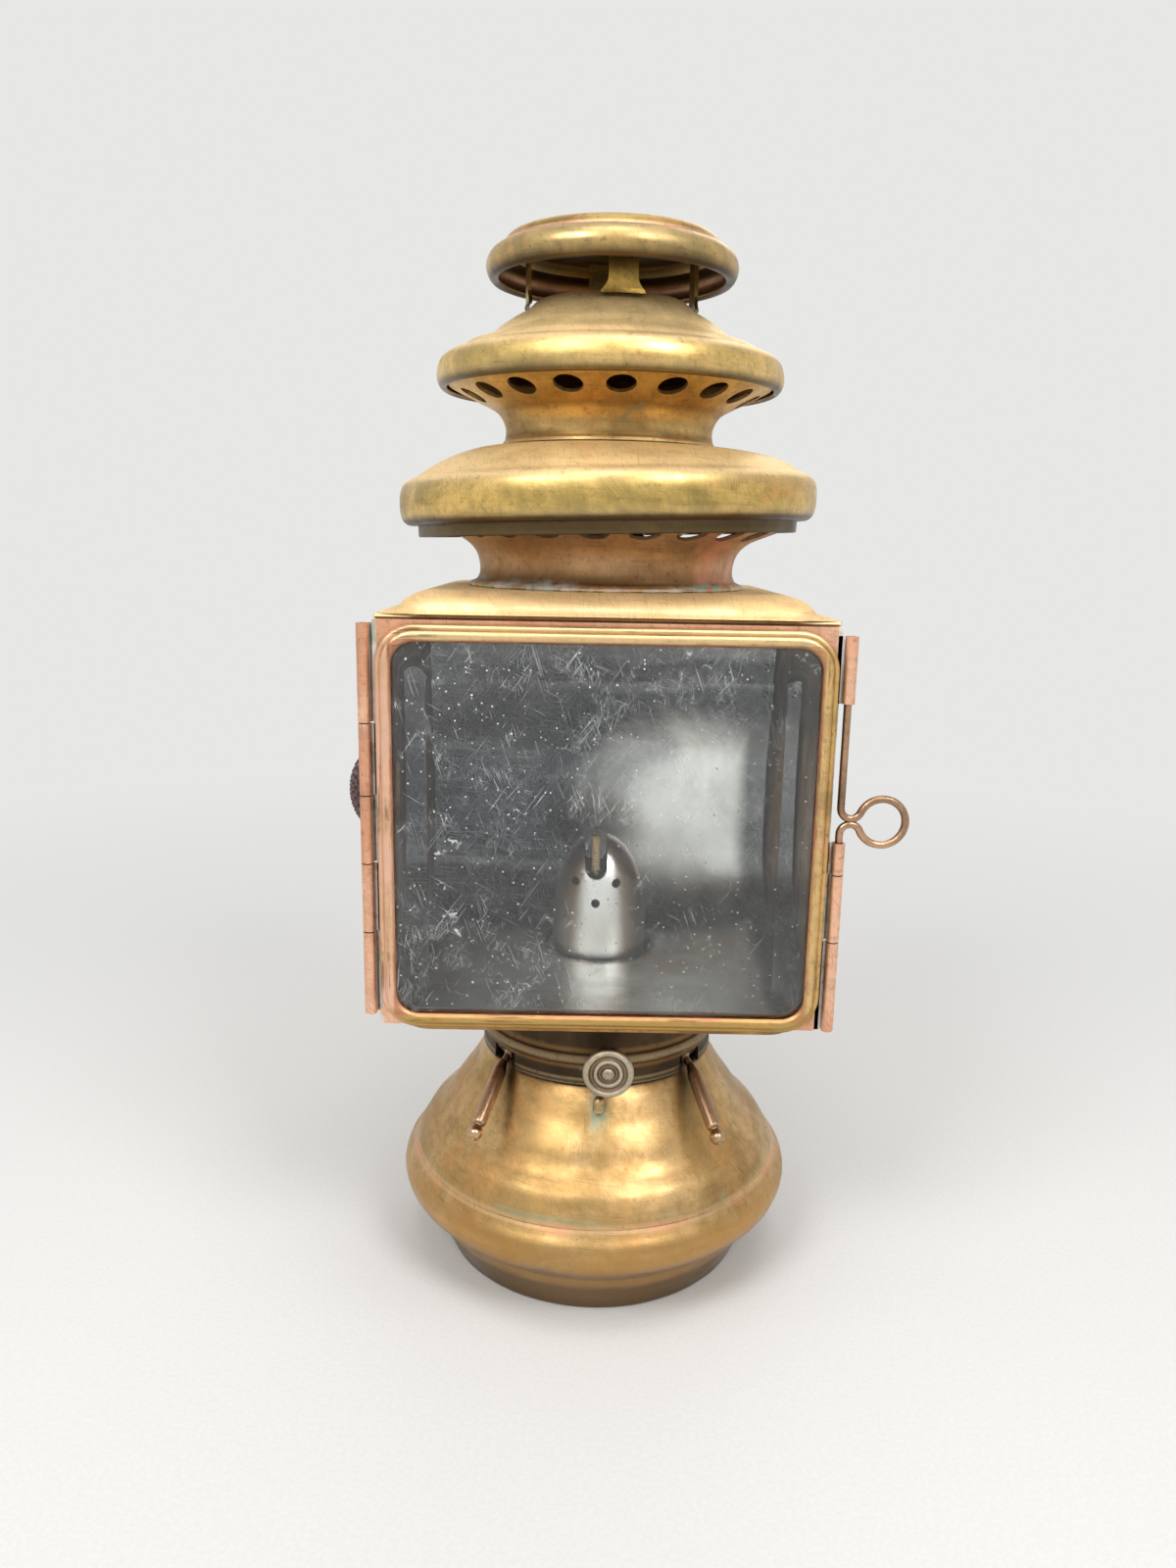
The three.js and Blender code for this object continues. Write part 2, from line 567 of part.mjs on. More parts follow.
// A square-cornered sheet across Y with the door opening, widened by a clearance.
function framedSheet(y0, y1, clearance) {
  const [half, sight] = [flangeHalf, OPENING_W / 2 - clearance];
  const [low, high] = [CASE_LOW_Z, CASE_TOP_Z];
  const sheet = plate([[-half, low], [half, low], [half, high], [-half, high]], y0, y1);
  const [sill, head] = [OPENING_LOW_Z + clearance, OPENING_TOP_Z - clearance];
  const edge = roundedRect(-sight, sight, sill, head, OPENING_CORNER);
  return cut(sheet, plate(edge, y0 - 1, y1 + 1));
}

// Front flange with three hinge barrels and the latch keeper.
function frontFlange() {
  const back = CASE_FRONT + SHEET;
  const ends = [0, 2, 4].map(barrelEnds);
  const leaves = ends.map((range) => hingeLeaf(-1, ...range, CASE_FRONT, back));
  const keeper = hingeLeaf(1, ...LATCH_KEEPER, CASE_FRONT, back);
  const barrels = ends.map((range) => [-BARREL_X, PIN_R + RUN, ...range]);
  const sheet = framedSheet(CASE_FRONT, back, GAP);
  return withBarrels(sheet, [...leaves, keeper], [...barrels, [BARREL_X, WIRE_R + RUN, ...LATCH_KEEPER]]);
}

// The two ends of a hinge barrel, with a working gap to its neighbours.
function barrelEnds(i) {
  const last = HINGE_SPLITS.length - 2;
  return [HINGE_SPLITS[i] + (i > 0 ? GAP / 2 : 0), HINGE_SPLITS[i + 1] - (i < last ? GAP / 2 : 0)];
}

// The strip of sheet that runs out from a flange to a barrel. Side is -1 left, +1 right.
function hingeLeaf(side, low, high, y0, y1) {
  const x = [side * (flangeHalf - 1), side * BARREL_X].sort((a, b) => a - b);
  return block(x[0], x[1], y0, y1, low, high);
}

// Join barrels to a sheet and bore them through.
function withBarrels(sheet, leaves, barrels) {
  const solid = join(sheet, ...leaves, ...barrels.map(([x, , low, high]) =>
    bar(BARREL_R, low, high).translate(x, BARREL_Y, 0)));
  return cut(solid, ...barrels.map(([x, bore, low, high]) =>
    bar(bore, low - 1, high + 1).translate(x, BARREL_Y, 0)));
}

// Pressed bottom pan with rolled edges and a round opening over the font.
function bottomPan() {
  const top = CASE_LOW_Z - GAP;
  const bottom = top - PAN_DROP;
  const edge = (inset, z) =>
    levelLoop(caseHalf - 2 - inset, CASE_FRONT + 1 + inset, CASE_BACK - 2 - inset, CASE_CORNER, z, 4);
  const roll = top - 0.8;
  const outside = skin([edge(3.2, bottom), edge(1, bottom + 0.7), edge(0, roll), edge(0, top)]);
  const inside = skin([edge(3.4, bottom + SHEET), edge(1.9, bottom + SHEET + 0.6), edge(SHEET, roll),
    edge(SHEET, top + 1)]);
  return cut(outside, inside, bar(COLLAR_R - SHEET, bottom - 1, top + 1, ROUND));
}

// Collar with a bead, open-bottomed slots for the shaft and catches, and a ledge for the catch pivots.
function collar() {
  const [r, low, bead] = [COLLAR_R, COLLAR_LOW_Z, COLLAR_BEAD_Z];
  const top = CASE_LOW_Z - GAP - PAN_DROP - GAP;
  const inner = r - SHEET;
  const outer = [[r, low], [r, bead - 1.6], [r + COLLAR_BEAD, bead - 0.6], [r + COLLAR_BEAD, bead + 0.6],
    [r, bead + 1.6], [r, top - SHEET], [r + COLLAR_RIM, top - SHEET], [r + COLLAR_RIM, top]];
  const ledgeR = NECK_R + 2 * GAP;
  const ledgeZ = CATCH_Z + CATCH_H + GAP;
  const ledge = [[inner, top], [inner, ledgeZ + 1], [ledgeR, ledgeZ + 1], [ledgeR, ledgeZ], [inner, ledgeZ],
    [inner, low]];
  const ring = lathe([...outer, ...ledge, outer[0]]);
  const slot = (angle, width, high) =>
    block(0, r + 6, -width / 2, width / 2, low - 1, high).rotateZ(radians(angle));
  const shaftSlot = slot(-90, 2 * SHAFT_R + 1.6, SHAFT_Z + SHAFT_R + 0.8).translate(shaftX, 0, 0);
  const leftSlot = slot(180 + CATCH_ANGLE, CATCH_SLOT_W, ledgeZ - EPS);
  const rightSlot = slot(-CATCH_ANGLE, CATCH_SLOT_W, ledgeZ - EPS);
  return cut(ring, shaftSlot, leftSlot, rightSlot);
}

// Roof: a flat flange and a pressed cushion with rounded shoulders, open under the chimney.
function roof() {
  const low = CASE_TOP_Z + GAP;
  const foot = low + SHEET;
  const centre = (CASE_FRONT + CASE_BACK) / 2;
  const narrower = ROOF_EDGE - (CASE_BACK - CASE_FRONT) / 2;
  const loop = (half, z, corner) =>
    levelLoop(half, centre - half + narrower, centre + half - narrower, corner, z, 4);
  const curve = (drop) => ellipse(0, 0, 1, 1, 0, 90, 5).map(([u, w]) => {
    const half = ROOF_TOP + (ROOF_EDGE - ROOF_TOP) * u - drop;
    return loop(half, foot + (ROOF_H - SHEET) * w - drop, ROOF_CORNER - drop);
  });
  const flange = block(-flangeHalf, flangeHalf, CASE_FRONT, CASE_BACK + ROOF_OVERHANG, low, foot);
  const cushion = skin([loop(ROOF_EDGE, low, ROOF_CORNER), ...curve(0)]);
  const hollow = skin([loop(ROOF_EDGE - SHEET, low - 2, ROOF_CORNER - SHEET), ...curve(SHEET)]);
  const mouth = bar(STACK_R - SHEET, low - 1, low + ROOF_H + 2, ROUND);
  return cut(join(flange, cushion), hollow, mouth);
}

// Silvered mirror: a floor that sweeps up behind the flame, dished towards its sides.
function mirror() {
  const halfX = caseHalf - SHEET - GAP - 0.5;
  const [bend, backY] = [MIRROR_BEND, MIRROR_BACK_Y];
  const spine = [[CASE_FRONT + SHEET + 1.2, FLOOR_Z - 1.2], [CASE_FRONT + 20, FLOOR_Z - 0.4], [-8, FLOOR_Z],
    ...arc(backY - bend, FLOOR_Z + bend, bend, -90, 0, 5),
    [backY, FLOOR_Z + 48.5], [backY - 4, FLOOR_Z + 65.5], [backY - 13, CASE_TOP_Z - 4]];
  const normals = spine.map((_, i) => {
    const before = spine[Math.max(i - 1, 0)];
    const after = spine[Math.min(i + 1, spine.length - 1)];
    const length = Math.hypot(after[0] - before[0], after[1] - before[1]);
    return [-(after[1] - before[1]) / length, (after[0] - before[0]) / length];
  });
  const columns = 8;
  const loops = Array.from({ length: columns + 1 }, (_, c) => {
    const across = (2 * c) / columns - 1;
    const side = (depth) => spine.map(([y, z], i) => {
      const rise = Math.min(i / 3, 1) * MIRROR_DISH * across ** 2 - depth;
      return [across * halfX, y + normals[i][0] * rise, z + normals[i][1] * rise];
    });
    return [...side(0), ...side(MIRROR_T).reverse()];
  });
  return cut(strip(loops), bar(FLOOR_HOLE_R, FLOOR_Z - 10, FLOOR_Z + 20, 32));
}

// Skin a bent sheet. Each loop runs along one face and back along the other.
function strip(loops) {
  const total = loops[0].length;
  const index = [];
  for (let row = 0; row < loops.length - 1; row++) {
    for (let i = 0; i < total; i++) {
      const j = (i + 1) % total;
      index.push(row * total + i, row * total + j, (row + 1) * total + j);
      index.push(row * total + i, (row + 1) * total + j, (row + 1) * total + i);
    }
  }
  const last = (loops.length - 1) * total;
  for (let i = 0; i < total / 2 - 1; i++) {
    const [a, b, c, d] = [i, i + 1, total - 2 - i, total - 1 - i];
    index.push(a, c, b, a, d, c);
    index.push(last + a, last + b, last + c, last + a, last + c, last + d);
  }
  return fromLists(loops.flat(2), index);
}

// Height of the lens's rim above the case axis, and of its sphere's centre.
const jewelCentre = -JEWEL_TIP_X - JEWEL_SPHERE;
const jewelSeat = jewelCentre + Math.sqrt(JEWEL_SPHERE ** 2 - JEWEL_R ** 2);
const ontoLeftWall = (geometry) => turnAlongX(geometry).rotateZ(Math.PI).translate(0, JEWEL_Y, JEWEL_Z);

function jewelBezel() {
  const base = caseHalf + GAP;
  const seat = jewelSeat;
  const [bore, inner, outer] = [JEWEL_R - 1.6, JEWEL_R + GAP, JEWEL_R + GAP + SHEET];
  const ledge = seat - JEWEL_RIM - GAP;
  return ontoLeftWall(lathe([[bore, base], [outer + 3, base], [outer + 3, base + 0.9], [outer, base + 1.6],
    [outer, seat - 0.4], [outer + 0.5, seat + 0.3], [outer, seat + 0.9], [inner, seat + 0.6], [inner, ledge],
    [bore, ledge], [bore, base]], FINE));
}

function jewelLens() {
  const edge = THREE.MathUtils.radToDeg(Math.asin(JEWEL_R / JEWEL_SPHERE));
  const dome = arc(0, jewelCentre, JEWEL_SPHERE, 90 - edge, 90, 5).slice(0, -1);
  const back = jewelSeat - JEWEL_RIM;
  return ontoLeftWall(lathe([[0, back], [JEWEL_R, back], ...dome, [0, -JEWEL_TIP_X]], FINE));
}

// Sleeve riveted to the back wall, which slips on a carriage's lamp iron.
function bracketSocket() {
  const [y0, half, t] = [CASE_BACK + GAP, SOCKET_W / 2, SOCKET_T];
  const out = y0 + SOCKET_DEPTH + t;
  const ear = half + SOCKET_EAR;
  const section = [[-ear, y0], [-half, y0], [-half, out - t], [half, out - t], [half, y0], [ear, y0],
    [ear, y0 + t], [half + t, y0 + t], [half + t, out],
    [-half - t, out], [-half - t, y0 + t], [-ear, y0 + t]];
  const shape = new THREE.Shape(section.map(([x, y]) => new THREE.Vector2(x, y)));
  const sleeve = closed(new THREE.ExtrudeGeometry(shape, { depth: SOCKET_H, bevelEnabled: false }));
  const holes = rivetPlaces().map(([x, z]) =>
    turnAlongY(bar(RIVET_R + GAP, -CASE_BACK - 20, -CASE_BACK + 5, 10)).translate(x, 0, z));
  return cut(sleeve.translate(0, 0, SOCKET_LOW_Z), ...holes);
}

const rivetPlaces = () => [-1, 1].flatMap((side) =>
  [SOCKET_LOW_Z + 6, SOCKET_LOW_Z + SOCKET_H - 6].map((z) => [side * (SOCKET_W / 2 + 0.6 * SOCKET_EAR), z]));

// One rivet: a domed head on the sleeve and a shank that reaches the case wall.
function socketRivet(x, z) {
  const seat = CASE_BACK + GAP + SOCKET_T + GAP;
  const head = ellipse(0, seat, RIVET_HEAD_R, RIVET_R, 0, 90, 3).slice(0, -1);
  const shank = [[0, CASE_BACK + GAP], [RIVET_R, CASE_BACK + GAP], [RIVET_R, seat]];
  return turnAlongY(lathe([...shank, ...head, [0, seat + RIVET_R]], 8)).rotateX(Math.PI).translate(x, 0, z);
}

// ---------------------------------------------------------------- door
const plateBack = CASE_FRONT - GAP;
const plateFront = plateBack - SHEET;

function doorPlate() {
  const lefts = [1, 3].map(barrelEnds);
  const rights = [LATCH_TOP, LATCH_GUIDE, LATCH_FOOT];
  const leaves = [...lefts.map((ends) => hingeLeaf(-1, ...ends, plateFront, plateBack)),
    ...rights.map((ends) => hingeLeaf(1, ...ends, plateFront, plateBack))];
  const barrels = [...lefts.map((ends) => [-BARREL_X, PIN_R + RUN, ...ends]),
    ...rights.map((ends) => [BARREL_X, WIRE_R + RUN, ...ends])];
  return withBarrels(framedSheet(plateFront, plateBack, 0), leaves, barrels);
}

const glassBack = plateFront - GAP;
const glassEdgeY = glassBack - GLASS_EDGE_T;

// Pressed bezel: a stepped moulding round the glass, with a lip over the glass edge.
function doorBezel() {
  const [back, front, lip] = [glassBack, BEZEL_FRONT, BEZEL_LIP];
  const seat = glassEdgeY - GAP;
  const rebate = lip - GLASS_LAP - 2 * GAP;
  const loop = (inset, y) => uprightLoop(OPENING_W / 2 + lip - inset, OPENING_LOW_Z - lip + inset,
    OPENING_TOP_Z + lip - inset, Math.max(BEZEL_CORNER - inset, 1), y, 4);
  return skin([loop(0, back), loop(0, back - 1.7), loop(0.5, back - 2.3), loop(lip - 2.7, back - 2.3),
    loop(lip - 2.5, front + 0.3), loop(lip - 1.8, front), loop(lip - 1, front), loop(lip, front + 0.7),
    loop(lip, seat), loop(rebate, seat), loop(rebate, back)], true);
}

function doorGlass() {
  const grow = GLASS_LAP;
  const loop = (inset, y) => uprightLoop(OPENING_W / 2 + grow - inset, OPENING_LOW_Z - grow + inset,
    OPENING_TOP_Z + grow - inset, Math.max(OPENING_CORNER + grow - inset, 0.6), y, 5);
  const front = loop(grow + BEVEL, glassBack - GLASS_T);
  return skin([loop(0, glassBack), loop(0, glassEdgeY), loop(grow, glassEdgeY), front]);
}

function hingePin() {
  return bar(PIN_R, HINGE_SPLITS[0] + 0.2, HINGE_SPLITS.at(-1) - 0.2).translate(-BARREL_X, BARREL_Y, 0);
}

// ---------------------------------------------------------------- latch wire
function latchWire() {
  const reach = LOOP_OUT - BEND_R;
  const rise = Math.sqrt((LOOP_R + BEND_R) ** 2 - reach ** 2);
  const lean = THREE.MathUtils.radToDeg(Math.atan2(rise, reach));
  const bendX = BARREL_X + BEND_R;
  const route = [
    [BARREL_X, LATCH_TOP[1] - 0.2], [BARREL_X, LOOP_Z + rise + 8],
    ...arc(bendX, LOOP_Z + rise, BEND_R, 180, 360 - lean, 5),
    ...arc(BARREL_X + LOOP_OUT, LOOP_Z, LOOP_R, 180 - lean, -180 + lean, 13).slice(1),
    ...arc(bendX, LOOP_Z - rise, BEND_R, lean, 180, 5).slice(1),
    [BARREL_X, LATCH_GUIDE[0]],
  ];
  const points = route.map(([x, z]) => new THREE.Vector3(x, BARREL_Y, z));
  return sweep(points, WIRE_R, 8);
}

// Sweep a round section through a planar list of points, with mitred joints and flat ends.
function sweep(points, radius, sides) {
  const loops = points.map((point, i) => {
    const before = points[Math.max(i - 1, 0)];
    const after = points[Math.min(i + 1, points.length - 1)];
    const along = after.clone().sub(before).normalize();
    const across = new THREE.Vector3(0, 1, 0);
    const up = along.clone().cross(across);
    return Array.from({ length: sides }, (_, k) => {
      const angle = ((k + 0.5) * 2 * Math.PI) / sides;
      const place = point.clone().addScaledVector(across, radius * Math.cos(angle));
      return place.addScaledVector(up, radius * Math.sin(angle)).toArray();
    });
  });
  return skin(loops);
}

// ---------------------------------------------------------------- font catches
const catchPivot = () => {
  const angle = radians(180 + CATCH_ANGLE);
  return [CATCH_R * Math.cos(angle), CATCH_R * Math.sin(angle)];
};

// Left catch: a ball-ended finger, a hub on its pivot and an arm that follows the font neck.
function catchLever() {
  const [px, py] = catchPivot();
  const [inner, outer] = [NECK_R + GAP, NECK_R + GAP + CATCH_T];
  const start = 180 + CATCH_ANGLE;
  const end = start - CATCH_SPAN;
  const outline = [...arc(0, 0, inner, start, end, 5), ...arc(0, 0, outer, end, start, 5)];
  const shape = new THREE.Shape(outline.map(([x, y]) => new THREE.Vector2(x, y)));
  const arm = closed(new THREE.ExtrudeGeometry(shape, { depth: CATCH_H, bevelEnabled: false }));
  const hub = bar(HUB_R, CATCH_Z, CATCH_Z + CATCH_H).translate(px, py, 0);
  const root = [px, py, CATCH_Z].map((place, i) => place + FINGER_START[i]);
  const link = barBetween([px, py, CATCH_Z + CATCH_H / 2], root, 0.95, 10);
  const hole = bar(PIVOT_R + RUN, CATCH_Z - 2, CATCH_Z + CATCH_H + 2).translate(px, py, 0);
  return cut(join(arm.translate(0, 0, CATCH_Z), hub, link, finger().translate(...root)), hole);
}

// A finger pin with a necked ball at its tip, leaning from its root at the origin.
function finger() {
  const way = new THREE.Vector3(...FINGER_REACH);
  const length = way.length();
  const [r, neckR, ballR] = [FINGER_R, FINGER_R * 0.72, FINGER_R * 1.06];
  const ball = arc(0, length - 0.4, ballR, -50, 90, 4).slice(0, -1);
  const profile = [[0, -1.5], [0.95, -1.5], [r * 0.8, 1.5], [r, 3], [r, length - 3.4], [neckR, length - 2.7],
    [neckR, length - 2.2], ...ball, [0, length - 0.4 + ballR]];
  return lathe(profile, 10).applyQuaternion(turnFromZ(way));
}

function catchPin() {
  const [px, py] = catchPivot();
  return bar(PIVOT_R, CATCH_Z - 0.2, CATCH_Z + CATCH_H + GAP / 2).translate(px, py, 0);
}

// Mirror a solid to the right-hand side.
function mirrored(geometry) {
  return closed(geometry.clone().scale(-1, 1, 1));
}

// ---------------------------------------------------------------- chimney
// A flaring neck on a solid foot, with a row of round vents, one in the middle of each facet.
// The first vent is turned from the front.
function ventedNeck(foot, waist, edge, count, vent, tilt, turn) {
  const slope = Math.tan(radians(tilt));
  const flat = [-1, 1].map((way) => {
    const reach = way * (vent.r + 0.6);
    return [vent.ring + reach, vent.z + reach * slope];
  });
  const heel = [waist[0][0] - SHEET, foot[0][1]];
  const section = [heel, ...foot, ...wall([...waist, ...flat, edge]).slice(0, -1), heel];
  const shell = lathe(section, count).rotateZ(Math.PI / count);
  const vents = Array.from({ length: count }, (_, i) =>
    bar(vent.r, -5, 5, 8).rotateX(radians(-tilt)).translate(0, -vent.ring, vent.z)
      .rotateZ((2 * Math.PI * i) / count));
  return cut(shell, ...vents).rotateZ(radians(turn));
}

function lowerNeck() {
  const low = roofTopZ + GAP;
  const high = low + STACK_H;
  const foot = [[STACK_R + 3, low], [STACK_R + 3, low + 0.8], [STACK_R + 0.5, low + 1.2]];
  const waist = [[STACK_R, low + 3.4], [STACK_R + 0.9, low + 8]];
  const vent = { r: STACK_VENT_R, ring: STACK_FLARE_R - 6.3, z: high - 2 };
  return ventedNeck(foot, waist, [STACK_FLARE_R, high], STACK_VENTS, vent, 21, STACK_TURN);
}

// The lower canopy's rim is bent: it drops to the left while its seat stays level.
function leanRim(geometry) {
  const p = geometry.attributes.position;
  const slope = Math.tan(radians(LOWER_LEAN));
  for (let i = 0; i < p.count; i++) {
    const radius = Math.hypot(p.getX(i), p.getY(i));
    const share = THREE.MathUtils.smoothstep(radius, UPPER_NECK_R + 3, LOWER_R - 6);
    p.setZ(i, p.getZ(i) + slope * p.getX(i) * share);
  }
  return geometry;
}

function lowerCanopy() {
  const [r, z] = [LOWER_R, LOWER_RIM_Z];
  const lip = STACK_FLARE_R + GAP + SHEET;
  const outer = [[lip, z - LOWER_LIP], [lip + 0.1, z - 1], [lip + 0.2, z + 0.9], [r - 2.6, z],
    [r - 0.5, z + 2.4], [r, z + 5], [r - 0.1, z + 8.2], [r - 1.2, z + 10.6], [r - 4.2, z + 12.3],
    [r - 7.4, z + 14.3], [r - 12, z + 16.4], [r - 19, z + 18.3], [UPPER_NECK_R - 1.4, LOWER_TOP_Z]];
  return leanRim(lathe(wall(outer, true)));
}

function upperNeck() {
  const low = LOWER_TOP_Z + GAP;
  const high = low + UPPER_NECK_H;
  const foot = [[UPPER_NECK_R + 0.9, low], [UPPER_NECK_R + 0.6, low + 0.9]];
  const waist = [[UPPER_NECK_R, low + 3.4], [UPPER_NECK_R + 0.9, low + 6.6]];
  const vent = { r: UPPER_VENT_R, ring: UPPER_FLARE_R - 6.4, z: high - 3.2 };
  return ventedNeck(foot, waist, [UPPER_FLARE_R, high], UPPER_VENTS, vent, 26, UPPER_TURN);
}

function upperCanopy() {
  const [r, z] = [UPPER_R, UPPER_RIM_Z];
  const outer = [[UPPER_FLARE_R + GAP, z + 0.4], [r - 1.8, z - 0.1], [r, z + 3], [r - 0.4, z + 5.6],
    [r - 1.8, z + 7.8], [r - 5, z + 9.2], [r - 8, z + 11.1], [r - 13.4, z + 13.1], [r - 15.6, z + 14.8],
    [r - 19.6, z + 17.6], [UPPER_MOUTH_R + 2.6, UPPER_CROWN_Z], [UPPER_MOUTH_R + 1, UPPER_CROWN_Z + 1.5],
    [UPPER_MOUTH_R, UPPER_CROWN_Z + 2.5], [UPPER_MOUTH_R - 2, UPPER_CROWN_Z + 2.8]];
  return lathe(wall(outer, true));
}

// A strap soldered to the crown: a flared foot, a plain shank and a top under the cap.
function capStrap(turn) {
  const low = UPPER_CROWN_Z + 1.5;
  const high = TOP_Z - SHEET - GAP;
  const [w, f] = [STRAP_W / 2, STRAP_FOOT_W / 2];
  const right = [[f, low], [f - 0.7, low + 1.2], [w + 0.4, low + 2.2], [w, low + 3.4], [w, high]];
  const left = right.map(([x, z]) => [-x, z]).reverse();
  return plate([...right, ...left], -STRAP_R - SHEET / 2, -STRAP_R + SHEET / 2).rotateZ(radians(turn));
}

// Spun cap: a rolled bead with a shallow stepped top.
function chimneyCap() {
  const [r, z] = [TOP_R, TOP_RIM_Z];
  const outer = [[r - 3.2, z + 0.6], [r - 1.6, z], [r, z + 3.4], [r - 0.8, z + 5.8], [r - 2.6, z + 7.3],
    [r - 4.2, z + 7.9], [r - 5.6, TOP_Z - 0.6], [r - 6.8, TOP_Z], [0, TOP_Z]];
  return lathe(wall(outer, true));
}

// ---------------------------------------------------------------- assembly
const lamp = new THREE.Group();

function add(name, geometry, finish) {
  const mesh = new THREE.Mesh(geometry, finish);
  mesh.name = name;
  lamp.add(mesh);
}

add("font_pan", fontPan(), brass());
add("font_dome", fontDome(), brass());
add("font_neck", fontNeck(), darkBrass());
add("locating_stud", locatingStud(), brass());
add("burner_base", burnerBase(), darkBrass());
add("burner_gallery", burnerGallery(), darkBrass());
add("burner_cap", burnerCap(), nickel());
add("wick_tube", wickTube(), darkBrass());
add("wick", wick(), cotton());
add("raiser_shaft", raiserShaft(), iron());
add("spur_wheel_front", spurWheel(-WHEEL_Y), darkBrass());
add("spur_wheel_rear", spurWheel(WHEEL_Y), darkBrass());
add("wick_knob", wickKnob(), darkBrass());

add("case_walls", caseWalls(), darkBrass());
add("front_flange", frontFlange(), copper());
add("bottom_pan", bottomPan(), darkBrass());
add("font_collar", collar(), darkBrass());
add("roof", roof(), copper());
add("mirror", mirror(), silvered());
add("jewel_bezel", jewelBezel(), brass());
add("jewel_lens", jewelLens(), darkGlass());
add("bracket_socket", bracketSocket(), darkBrass());
rivetPlaces().forEach(([x, z], i) => add(`socket_rivet_${i + 1}`, socketRivet(x, z), brass()));
add("catch_pin_left", catchPin(), iron());
add("catch_pin_right", mirrored(catchPin()), iron());
add("catch_left", catchLever(), copper());
add("catch_right", mirrored(catchLever()), copper());

add("door_plate", doorPlate(), copper());
add("door_bezel", doorBezel(), copper());
add("door_glass", doorGlass(), clearGlass());
add("hinge_pin", hingePin(), iron());
add("latch_wire", latchWire(), copper());

add("lower_neck", lowerNeck(), darkBrass());
add("lower_canopy", lowerCanopy(), brass());
add("upper_neck", upperNeck(), darkBrass());
add("upper_canopy", upperCanopy(), brass());
["front", "right", "back", "left"].forEach((side, i) =>
  add(`cap_strap_${side}`, capStrap(90 * i + STRAP_TURN), brass()));
add("chimney_cap", chimneyCap(), brass());

export default lamp;
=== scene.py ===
"""Kerosene side lamp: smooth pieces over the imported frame, with materials, floor, lights and camera."""

import json
import math

import bmesh
import bpy
from mathutils import Matrix, Vector, noise

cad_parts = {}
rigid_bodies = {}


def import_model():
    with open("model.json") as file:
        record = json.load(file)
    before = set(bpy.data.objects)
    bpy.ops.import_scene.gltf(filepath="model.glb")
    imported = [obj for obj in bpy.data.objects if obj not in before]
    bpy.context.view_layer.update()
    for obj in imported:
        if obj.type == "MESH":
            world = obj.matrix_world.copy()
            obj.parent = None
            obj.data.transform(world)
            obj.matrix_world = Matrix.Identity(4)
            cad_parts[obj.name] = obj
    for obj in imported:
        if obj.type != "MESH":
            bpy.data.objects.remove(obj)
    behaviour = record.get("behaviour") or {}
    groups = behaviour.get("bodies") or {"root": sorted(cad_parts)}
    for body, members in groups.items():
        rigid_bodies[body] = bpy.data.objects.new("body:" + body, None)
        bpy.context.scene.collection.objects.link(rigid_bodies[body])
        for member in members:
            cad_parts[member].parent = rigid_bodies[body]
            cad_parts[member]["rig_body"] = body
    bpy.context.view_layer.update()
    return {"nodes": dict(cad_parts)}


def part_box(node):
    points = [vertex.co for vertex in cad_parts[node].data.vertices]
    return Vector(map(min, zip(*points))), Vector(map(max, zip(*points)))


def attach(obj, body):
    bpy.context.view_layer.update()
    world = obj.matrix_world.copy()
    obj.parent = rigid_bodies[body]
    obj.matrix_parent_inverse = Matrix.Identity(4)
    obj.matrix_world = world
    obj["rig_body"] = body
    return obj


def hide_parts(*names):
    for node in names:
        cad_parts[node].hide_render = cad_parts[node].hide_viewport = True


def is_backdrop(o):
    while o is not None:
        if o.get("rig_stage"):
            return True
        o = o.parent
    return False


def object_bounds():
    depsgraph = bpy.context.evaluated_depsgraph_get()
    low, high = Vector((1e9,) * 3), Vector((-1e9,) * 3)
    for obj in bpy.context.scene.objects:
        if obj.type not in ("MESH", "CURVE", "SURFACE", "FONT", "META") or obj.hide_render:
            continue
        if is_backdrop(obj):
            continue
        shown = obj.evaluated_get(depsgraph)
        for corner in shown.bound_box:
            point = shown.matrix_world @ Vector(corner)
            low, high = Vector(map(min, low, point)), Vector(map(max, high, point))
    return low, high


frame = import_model()
nodes = frame["nodes"]

MM = 0.001  # lengths below are in millimetres
SHEET = 0.9  # formed brass sheet
SIDES = 144  # sides of a large spun piece


# ---------------------------------------------------------------- lines
def span(node):
    """Lowest and highest corner of a CAD node, in millimetres."""
    low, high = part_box(node)
    return low / MM, high / MM


def from_edge(u, v, *points):
    """Points of a line, given as they lie from (u, v)."""
    return [(u + a, v + b, *corner) for a, b, *corner in points]


def mirrored(points):
    """The other half of a symmetrical line."""
    return [(-x, y, *corner) for x, y, *corner in reversed(points)]


